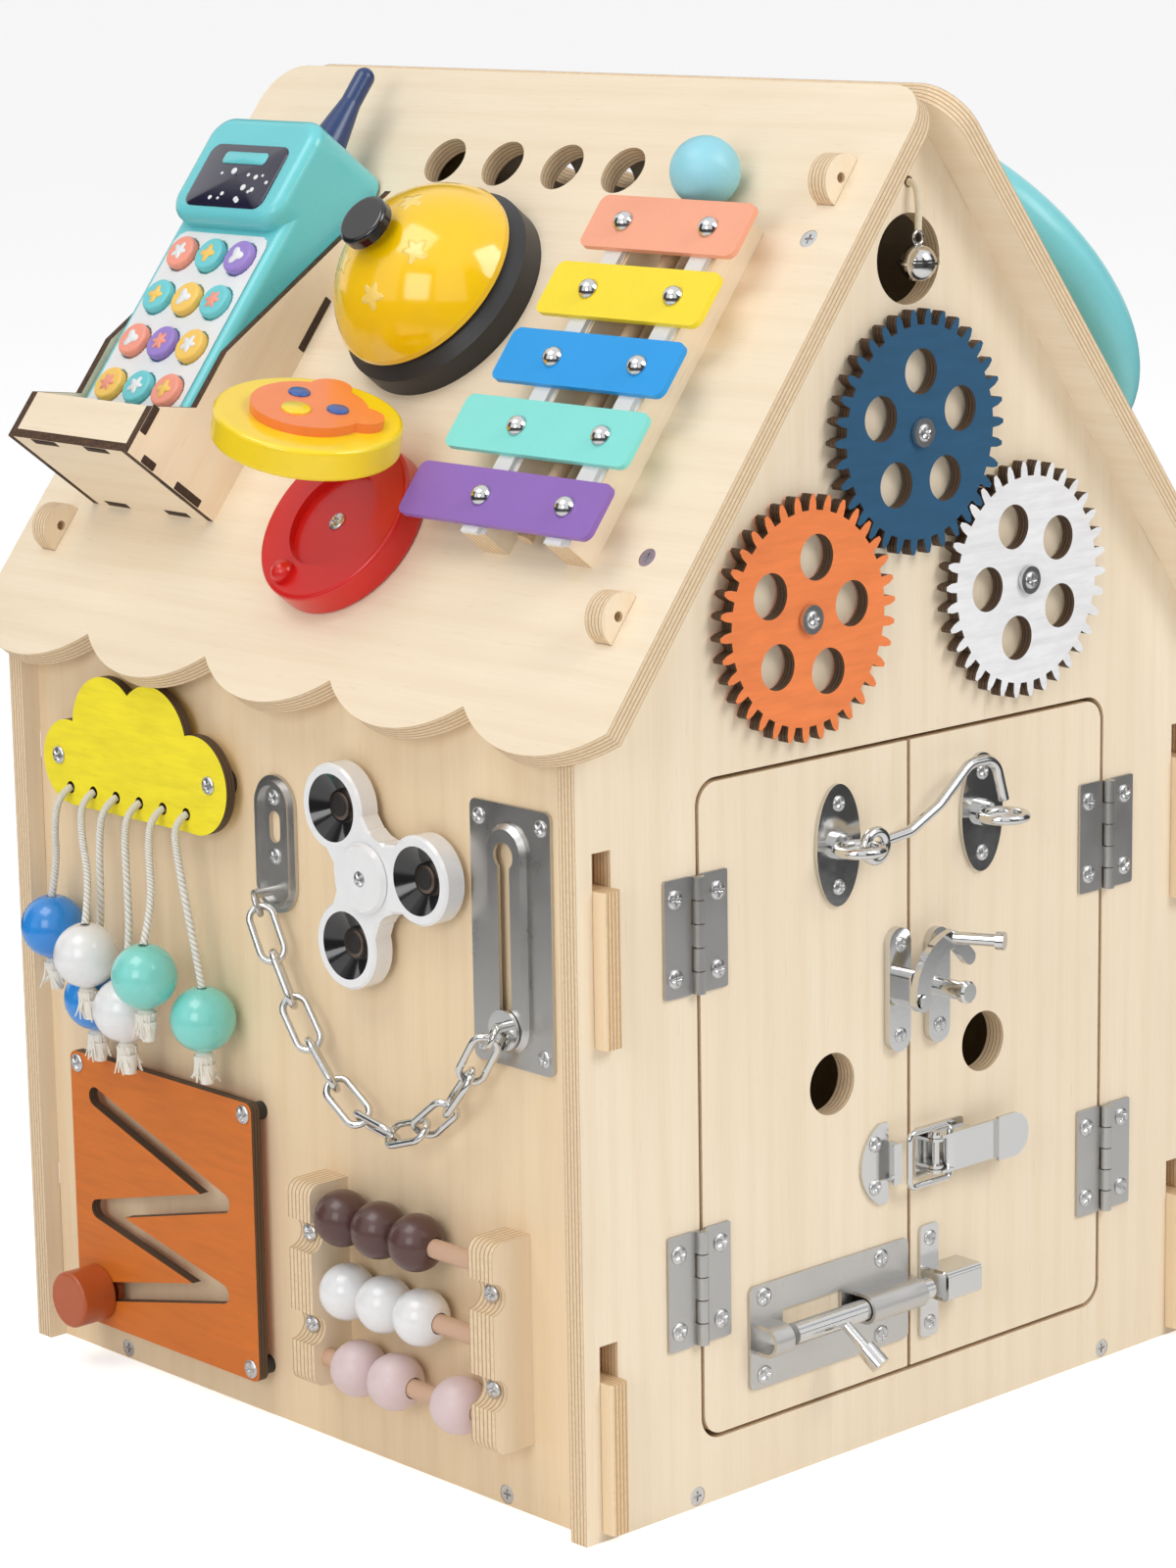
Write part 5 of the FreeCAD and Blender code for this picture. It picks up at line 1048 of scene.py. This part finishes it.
def dress_phone(sizes):
    """Teal handset with a white keypad, and a display with small dots."""
    paint("toy_phone", "phone_teal", ("antenna_navy", over(roof_left, 1, ANTENNA_V)))

    def key(i):
        u, v = key_place(i)
        return lambda c: np.hypot(along(roof_left, 0, c) - u, along(roof_left, 1, c) - v) < KEY_WELL_R
    shades = ["key_%d" % shade for shade in KEY_PATTERN]
    paint("phone_keys", shades[0], *((shades[i], key(i)) for i in range(1, len(shades))))
    for i in range(len(shades)):
        key_icon(i)
    flat_shape(roof_left, rounded_outline(*DISPLAY), DISPLAY_W, 0.6, "phone_display", "phone_display",
               "toy_phone")
    flat_shape(roof_left, rounded_outline(*DISPLAY_BAR), DISPLAY_FACE, 0.4, "phone_teal",
               "phone_display_bar", "toy_phone")
    rng = np.random.default_rng(DOTS_SEED)
    for i in range(1, sizes.display_dots + 1):
        place = (rng.uniform(*DOTS_U), rng.uniform(*DOTS_V), DISPLAY_FACE)
        radius = rng.uniform(*DOTS_R)
        disc_on(roof_left, place, radius, 0.3, "phone_white", "display_dot_%d" % i, "toy_phone", 0.1)
    keypad_sheet()


def key_icon(i, steps=48):
    """A small rosette with k lobes on a key: r = a(1 + 0.3 cos kt)."""
    u, v = key_place(i)
    t = turns_of(steps)
    r = ICON_R * (1 + 0.3 * np.cos((3 + i % 4) * t))
    outline = np.column_stack([u + r * np.cos(t), v + r * np.sin(t)])
    material = ("phone_white", "key_3", "phone_white", "key_2")[i % 4]
    flat_shape(roof_left, outline, KEY_FACE, 0.3, material, "key_icon_%d" % (i + 1), "phone_keys")


def keypad_sheet():
    """White sheet round the keys: a flat grid less the wells, and less what lies past its round corners."""
    half_u, half_v = SHEET_HALF
    us = np.linspace(PHONE_U - half_u, PHONE_U + half_u, SHEET_GRID[0])
    vs = np.linspace(SHEET_V - half_v, SHEET_V + half_v, SHEET_GRID[1])
    uu, vv = np.meshgrid(us, vs)
    points = np.stack([uu, vv, np.full_like(uu, SHEET_W)], -1).reshape(-1, 3)
    mid_u, mid_v = (uu[:-1, :-1] + uu[1:, 1:]) / 2, (vv[:-1, :-1] + vv[1:, 1:]) / 2
    past_u = np.maximum(np.abs(mid_u - PHONE_U) - half_u + SHEET_ROUND, 0)
    past_v = np.maximum(np.abs(mid_v - SHEET_V) - half_v + SHEET_ROUND, 0)
    keep = np.hypot(past_u, past_v) <= SHEET_ROUND
    for i in range(len(KEY_PATTERN)):
        u, v = key_place(i)
        keep &= np.hypot(mid_u - u, mid_v - v) > KEY_WELL_R
    columns = len(us)
    corners = [int(i * columns + j) for i, j in zip(*np.nonzero(keep))]
    faces = [(k, k + 1, k + columns + 1, k + columns) for k in corners]
    add_piece("keypad_sheet", placed(roof_left, points), faces, "phone_white", "toy_phone", False)


def dress_steering_wheel():
    """Moulded wheel on the right roof."""
    paint("steering_wheel", "wheel_teal")


# Stage

PAPER_EDGE = 0.55        # the white paper ends here, as metal mirrors it
ROOM_START = 0.85        # and a dark room starts
DARK_ROOM = (0.05, 0.05, 0.05, 1)
PAPER_WHITES = (0.90, 0.90, 0.90, 1), (0.93, 0.93, 0.93, 1)
PAPER_GLOWS = (0.0, 0.0, 0.0, 1), (0.5, 0.5, 0.5, 1)     # elsewhere, and where the camera sees it
MIRRORED_TONES = (0.03, 0.03, 0.03, 1), (0.95, 0.95, 0.96, 1)
BACKDROP = (1.0, 1.0, 1.0, 1)
SKY_PANELS = 5.0         # bright panels round the room, as gloss mirrors them

# Place, target, size and share of the key power
LIGHTS = {
    "key_light": ((0.5, -1.9, 1.7), (0, 0, 0.2), (1.1, 1.1), 1.0),
    "roof_light": ((-1.1, 0.1, 2.0), (0, 0, 0.3), (1.2, 1.0), 0.6),
    "side_fill": ((-2.1, -0.7, 0.9), (0, 0, 0.2), (1.0, 1.0), 0.55),
}


def look_camera(settings):
    """Camera at the photograph's own place, from the fitted azimuth, elevation and roll."""
    cam = bpy.data.cameras.new("camera")
    cam.sensor_fit = "VERTICAL"
    cam.sensor_height = 36.0
    cam.lens = settings.lens
    obj = bpy.data.objects.new("camera", cam)
    bpy.context.scene.collection.objects.link(obj)
    az, el, roll = settings.azimuth, settings.elevation, settings.roll
    forward = Vector((sin(az) * cos(el), cos(az) * cos(el), -sin(el)))
    right = Vector((cos(az), -sin(az), 0))
    up = right.cross(forward)
    side = right * cos(roll) + up * sin(roll)
    top = -right * sin(roll) + up * cos(roll)
    turn = Matrix((side, top, -forward)).transposed()
    obj.matrix_world = Matrix.Translation(settings.camera_place) @ turn.to_4x4()
    bpy.context.scene.camera = obj


def area_light(name, place, target, size, power):
    """A rectangular light at a place, turned to its target."""
    light = bpy.data.lights.new(name, "AREA")
    light.shape = "RECTANGLE"
    light.size, light.size_y = size
    light.energy = power
    obj = bpy.data.objects.new(name, light)
    bpy.context.scene.collection.objects.link(obj)
    obj.location = place
    obj.rotation_euler = (Vector(target) - Vector(place)).to_track_quat("-Z", "Y").to_euler()


def paper_floor(side):
    """White paper that glows a little to the camera, and goes dark far out where metal mirrors it."""
    tree, shader, coords = start_material("pale_floor")
    rays = node(tree, "ShaderNodeLightPath").outputs
    tone = blend(tree, noise(tree, coords["Object"], 3.0, 2.0, 0.5), *PAPER_WHITES)
    reach = node(tree, "ShaderNodeVectorMath", {0: coords["Object"]}, operation="LENGTH").outputs["Value"]
    room = maths(tree, "MULTIPLY", spread(tree, reach, PAPER_EDGE, ROOM_START), rays["Is Glossy Ray"])
    tree.links.new(blend(tree, room, tone, DARK_ROOM), shader.inputs["Base Color"])
    tree.links.new(blend(tree, rays["Is Camera Ray"], *PAPER_GLOWS), shader.inputs["Emission Color"])
    shader.inputs["Emission Strength"].default_value = 1.0
    shader.inputs["Roughness"].default_value = 0.9
    shader.inputs["Specular IOR Level"].default_value = 0.1
    corners = [(-side, -side, 0), (side, -side, 0), (side, side, 0), (-side, side, 0)]
    make_object("floor", corners, [(0, 1, 2, 3)], "pale_floor", False)


def studio_sky(level):
    """An even soft sky, white to the camera, which gloss sees as dark and bright panels."""
    world = bpy.data.worlds.new("studio")
    world.use_nodes = True
    bpy.context.scene.world = world
    tree = world.node_tree
    sight = node(tree, "ShaderNodeTexCoord").outputs["Generated"]
    x, y, z = node(tree, "ShaderNodeSeparateXYZ", {0: sight}).outputs
    bearing = maths(tree, "ARCTAN2", y, x)
    waves = maths(tree, "SINE", maths(tree, "MULTIPLY", bearing, SKY_PANELS))
    panels = maths(tree, "MAXIMUM", spread(tree, waves, 0.1, 0.3, 0.05, 1.0), spread(tree, z, 0.45, 0.65))
    mirrored = blend(tree, panels, *MIRRORED_TONES)
    rays = node(tree, "ShaderNodeLightPath").outputs
    glow = blend(tree, rays["Is Glossy Ray"], (level, level, level * 1.01, 1), mirrored)
    glow = blend(tree, rays["Is Camera Ray"], glow, BACKDROP)
    tree.links.new(glow, tree.nodes["Background"].inputs["Color"])


def build_stage(settings):
    """Paper floor, soft sky, three large soft lights and the camera."""
    paper_floor(settings.floor_size)
    studio_sky(settings.sky_strength)
    for name, (place, target, size, share) in LIGHTS.items():
        area_light(name, place, target, size, settings.key_power * share)
    bpy.context.scene.view_settings.view_transform = "Standard"
    look_camera(settings)


# Add-on

def paint_choice(name, place, default):
    """A colour that a user can change."""
    return FloatVectorProperty(name=name, description="Colour of the " + place, default=default, size=3,
                               subtype="COLOR", min=0.0, max=1.0)


class BusyHousePaints(bpy.types.PropertyGroup):
    """Colours of the play pieces."""
    blue_gear: paint_choice("Blue gear", "upper gear", (0.016, 0.098, 0.20))
    orange_gear: paint_choice("Orange gear", "lower left gear", (0.95, 0.25, 0.065))
    white_gear: paint_choice("White gear", "lower right gear", (0.88, 0.88, 0.89))
    cloud: paint_choice("Cloud", "cloud board", (0.98, 0.82, 0.015))
    maze: paint_choice("Maze", "maze board", (0.68, 0.17, 0.012))
    bell: paint_choice("Bell", "call bell's dome", (0.95, 0.58, 0.002))
    castanet_base: paint_choice("Castanet base", "castanet's base", (0.66, 0.010, 0.008))
    castanet_lid: paint_choice("Castanet lid", "castanet's lid", (0.93, 0.66, 0.006))
    phone: paint_choice("Phone", "phone's body", (0.155, 0.62, 0.66))
    wheel: paint_choice("Wheel", "steering wheel", (0.22, 0.66, 0.70))


class BusyHouseSizes(bpy.types.PropertyGroup):
    """Sizes and counts of the small pieces."""
    fray_strands: IntProperty(name="Fray strands", description="Loose strands at each string's end",
                              default=26, min=3)
    fray_length: FloatProperty(name="Fray length", description="Longest loose strand, in millimetres",
                               default=9.5, min=6.0, max=14.0)
    display_dots: IntProperty(name="Display dots", description="White dots on the phone's display",
                              default=14, min=0)


class BusyHouseStage(bpy.types.PropertyGroup):
    """Camera, light and floor."""
    lens: FloatProperty(name="Lens", description="Focal length for a 36 mm high sensor", default=98.8,
                        min=10.0)
    azimuth: FloatProperty(name="Azimuth", description="Bearing of the view", default=radians(42.843),
                           subtype="ANGLE")
    elevation: FloatProperty(name="Elevation", description="Downward tilt", default=radians(11.929),
                             subtype="ANGLE")
    roll: FloatProperty(name="Roll", description="Turn about the view", default=radians(-0.929),
                        subtype="ANGLE")
    camera_place: FloatVectorProperty(name="Camera place", description="Camera position in the part's frame",
                                      default=(-0.9540, -1.0210, 0.4853), subtype="XYZ", unit="LENGTH")
    key_power: FloatProperty(name="Key power", description="Power of the key light", default=22.0,
                             unit="POWER")
    sky_strength: FloatProperty(name="Sky strength", description="Brightness of the soft sky", default=0.45,
                                min=0.0)
    floor_size: FloatProperty(name="Floor size", description="Half side of the floor", default=30.0,
                              unit="LENGTH")


class BUSYHOUSE_OT_finishes(bpy.types.Operator):
    """Make every finish"""
    bl_idname = "busyhouse.finishes"
    bl_label = "Make finishes"

    def execute(self, context):
        make_materials(context.scene.busy_house_paints)
        return {"FINISHED"}


class BUSYHOUSE_OT_case(bpy.types.Operator):
    """Dress the plywood case and doors"""
    bl_idname = "busyhouse.case"
    bl_label = "Case and doors"

    def execute(self, context):
        dress_case()
        return {"FINISHED"}


class BUSYHOUSE_OT_hinges(bpy.types.Operator):
    """Dress the door hinges"""
    bl_idname = "busyhouse.hinges"
    bl_label = "Hinges"

    def execute(self, context):
        dress_hinges()
        return {"FINISHED"}


class BUSYHOUSE_OT_latches(bpy.types.Operator):
    """Dress the hook, the latches and the bolt"""
    bl_idname = "busyhouse.latches"
    bl_label = "Latches"

    def execute(self, context):
        dress_latches()
        return {"FINISHED"}


class BUSYHOUSE_OT_gears(bpy.types.Operator):
    """Dress the gears and every turning post"""
    bl_idname = "busyhouse.gears"
    bl_label = "Gears and posts"

    def execute(self, context):
        dress_gears()
        dress_posts()
        return {"FINISHED"}


class BUSYHOUSE_OT_sleigh_bell(bpy.types.Operator):
    """Dress the hanging bell"""
    bl_idname = "busyhouse.sleigh_bell"
    bl_label = "Sleigh bell"

    def execute(self, context):
        dress_sleigh_bell()
        return {"FINISHED"}


class BUSYHOUSE_OT_cloud(bpy.types.Operator):
    """Dress the cloud and its strings of beads"""
    bl_idname = "busyhouse.cloud"
    bl_label = "Cloud and strings"

    def execute(self, context):
        dress_cloud(context.scene.busy_house_sizes)
        return {"FINISHED"}


class BUSYHOUSE_OT_door_chain(bpy.types.Operator):
    """Dress the door chain"""
    bl_idname = "busyhouse.door_chain"
    bl_label = "Door chain"

    def execute(self, context):
        dress_door_chain()
        return {"FINISHED"}


class BUSYHOUSE_OT_spinner(bpy.types.Operator):
    """Dress the spinner"""
    bl_idname = "busyhouse.spinner"
    bl_label = "Spinner"

    def execute(self, context):
        dress_spinner()
        return {"FINISHED"}


class BUSYHOUSE_OT_maze(bpy.types.Operator):
    """Dress the maze"""
    bl_idname = "busyhouse.maze"
    bl_label = "Maze"

    def execute(self, context):
        dress_maze()
        return {"FINISHED"}


class BUSYHOUSE_OT_abacus(bpy.types.Operator):
    """Dress the abacus"""
    bl_idname = "busyhouse.abacus"
    bl_label = "Abacus"

    def execute(self, context):
        dress_abacus()
        return {"FINISHED"}


class BUSYHOUSE_OT_xylophone(bpy.types.Operator):
    """Dress the xylophone and its mallet"""
    bl_idname = "busyhouse.xylophone"
    bl_label = "Xylophone"

    def execute(self, context):
        dress_xylophone()
        return {"FINISHED"}


class BUSYHOUSE_OT_call_bell(bpy.types.Operator):
    """Dress the call bell"""
    bl_idname = "busyhouse.call_bell"
    bl_label = "Call bell"

    def execute(self, context):
        dress_call_bell()
        return {"FINISHED"}


class BUSYHOUSE_OT_castanet(bpy.types.Operator):
    """Dress the castanet"""
    bl_idname = "busyhouse.castanet"
    bl_label = "Castanet"

    def execute(self, context):
        dress_castanet()
        return {"FINISHED"}


class BUSYHOUSE_OT_phone(bpy.types.Operator):
    """Dress the toy phone and its holder"""
    bl_idname = "busyhouse.phone"
    bl_label = "Phone and holder"

    def execute(self, context):
        dress_holder()
        dress_phone(context.scene.busy_house_sizes)
        return {"FINISHED"}


class BUSYHOUSE_OT_steering_wheel(bpy.types.Operator):
    """Dress the steering wheel"""
    bl_idname = "busyhouse.steering_wheel"
    bl_label = "Steering wheel"

    def execute(self, context):
        dress_steering_wheel()
        return {"FINISHED"}


class BUSYHOUSE_OT_stage(bpy.types.Operator):
    """Build the floor, sky, lights and camera"""
    bl_idname = "busyhouse.stage"
    bl_label = "Build stage"

    def execute(self, context):
        build_stage(context.scene.busy_house_stage)
        return {"FINISHED"}


STEPS = (BUSYHOUSE_OT_finishes, BUSYHOUSE_OT_case, BUSYHOUSE_OT_hinges, BUSYHOUSE_OT_latches,
         BUSYHOUSE_OT_gears, BUSYHOUSE_OT_sleigh_bell, BUSYHOUSE_OT_cloud, BUSYHOUSE_OT_door_chain,
         BUSYHOUSE_OT_spinner, BUSYHOUSE_OT_maze, BUSYHOUSE_OT_abacus, BUSYHOUSE_OT_xylophone,
         BUSYHOUSE_OT_call_bell, BUSYHOUSE_OT_castanet, BUSYHOUSE_OT_phone, BUSYHOUSE_OT_steering_wheel,
         BUSYHOUSE_OT_stage)
SETTINGS = {"busy_house_paints": BusyHousePaints, "busy_house_sizes": BusyHouseSizes,
            "busy_house_stage": BusyHouseStage}


class BUSYHOUSE_PT_panel(bpy.types.Panel):
    """Every setting, and a button for every step"""
    bl_label = "Busy House"
    bl_idname = "BUSYHOUSE_PT_panel"
    bl_space_type = "VIEW_3D"
    bl_region_type = "UI"
    bl_category = "Busy House"

    def draw(self, context):
        for name, kind in SETTINGS.items():
            for label in kind.__annotations__:
                self.layout.prop(getattr(context.scene, name), label)
        for step in STEPS:
            self.layout.operator(step.bl_idname)


def register():
    """Adds the settings, the operators and the panel."""
    for made in (*SETTINGS.values(), *STEPS, BUSYHOUSE_PT_panel):
        bpy.utils.register_class(made)
    for name, kind in SETTINGS.items():
        setattr(bpy.types.Scene, name, PointerProperty(type=kind))


def unregister():
    """Takes them away again."""
    for name in SETTINGS:
        delattr(bpy.types.Scene, name)
    for made in (BUSYHOUSE_PT_panel, *reversed(STEPS), *SETTINGS.values()):
        bpy.utils.unregister_class(made)


def main():
    """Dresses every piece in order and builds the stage."""
    register()
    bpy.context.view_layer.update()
    bpy.ops.busyhouse.finishes()
    bpy.ops.busyhouse.case()
    bpy.ops.busyhouse.hinges()
    bpy.ops.busyhouse.latches()
    bpy.ops.busyhouse.gears()
    bpy.ops.busyhouse.sleigh_bell()
    bpy.ops.busyhouse.cloud()
    bpy.ops.busyhouse.door_chain()
    bpy.ops.busyhouse.spinner()
    bpy.ops.busyhouse.maze()
    bpy.ops.busyhouse.abacus()
    bpy.ops.busyhouse.xylophone()
    bpy.ops.busyhouse.call_bell()
    bpy.ops.busyhouse.castanet()
    bpy.ops.busyhouse.phone()
    bpy.ops.busyhouse.steering_wheel()
    bpy.ops.busyhouse.stage()


if __name__ == "__main__":
    main()
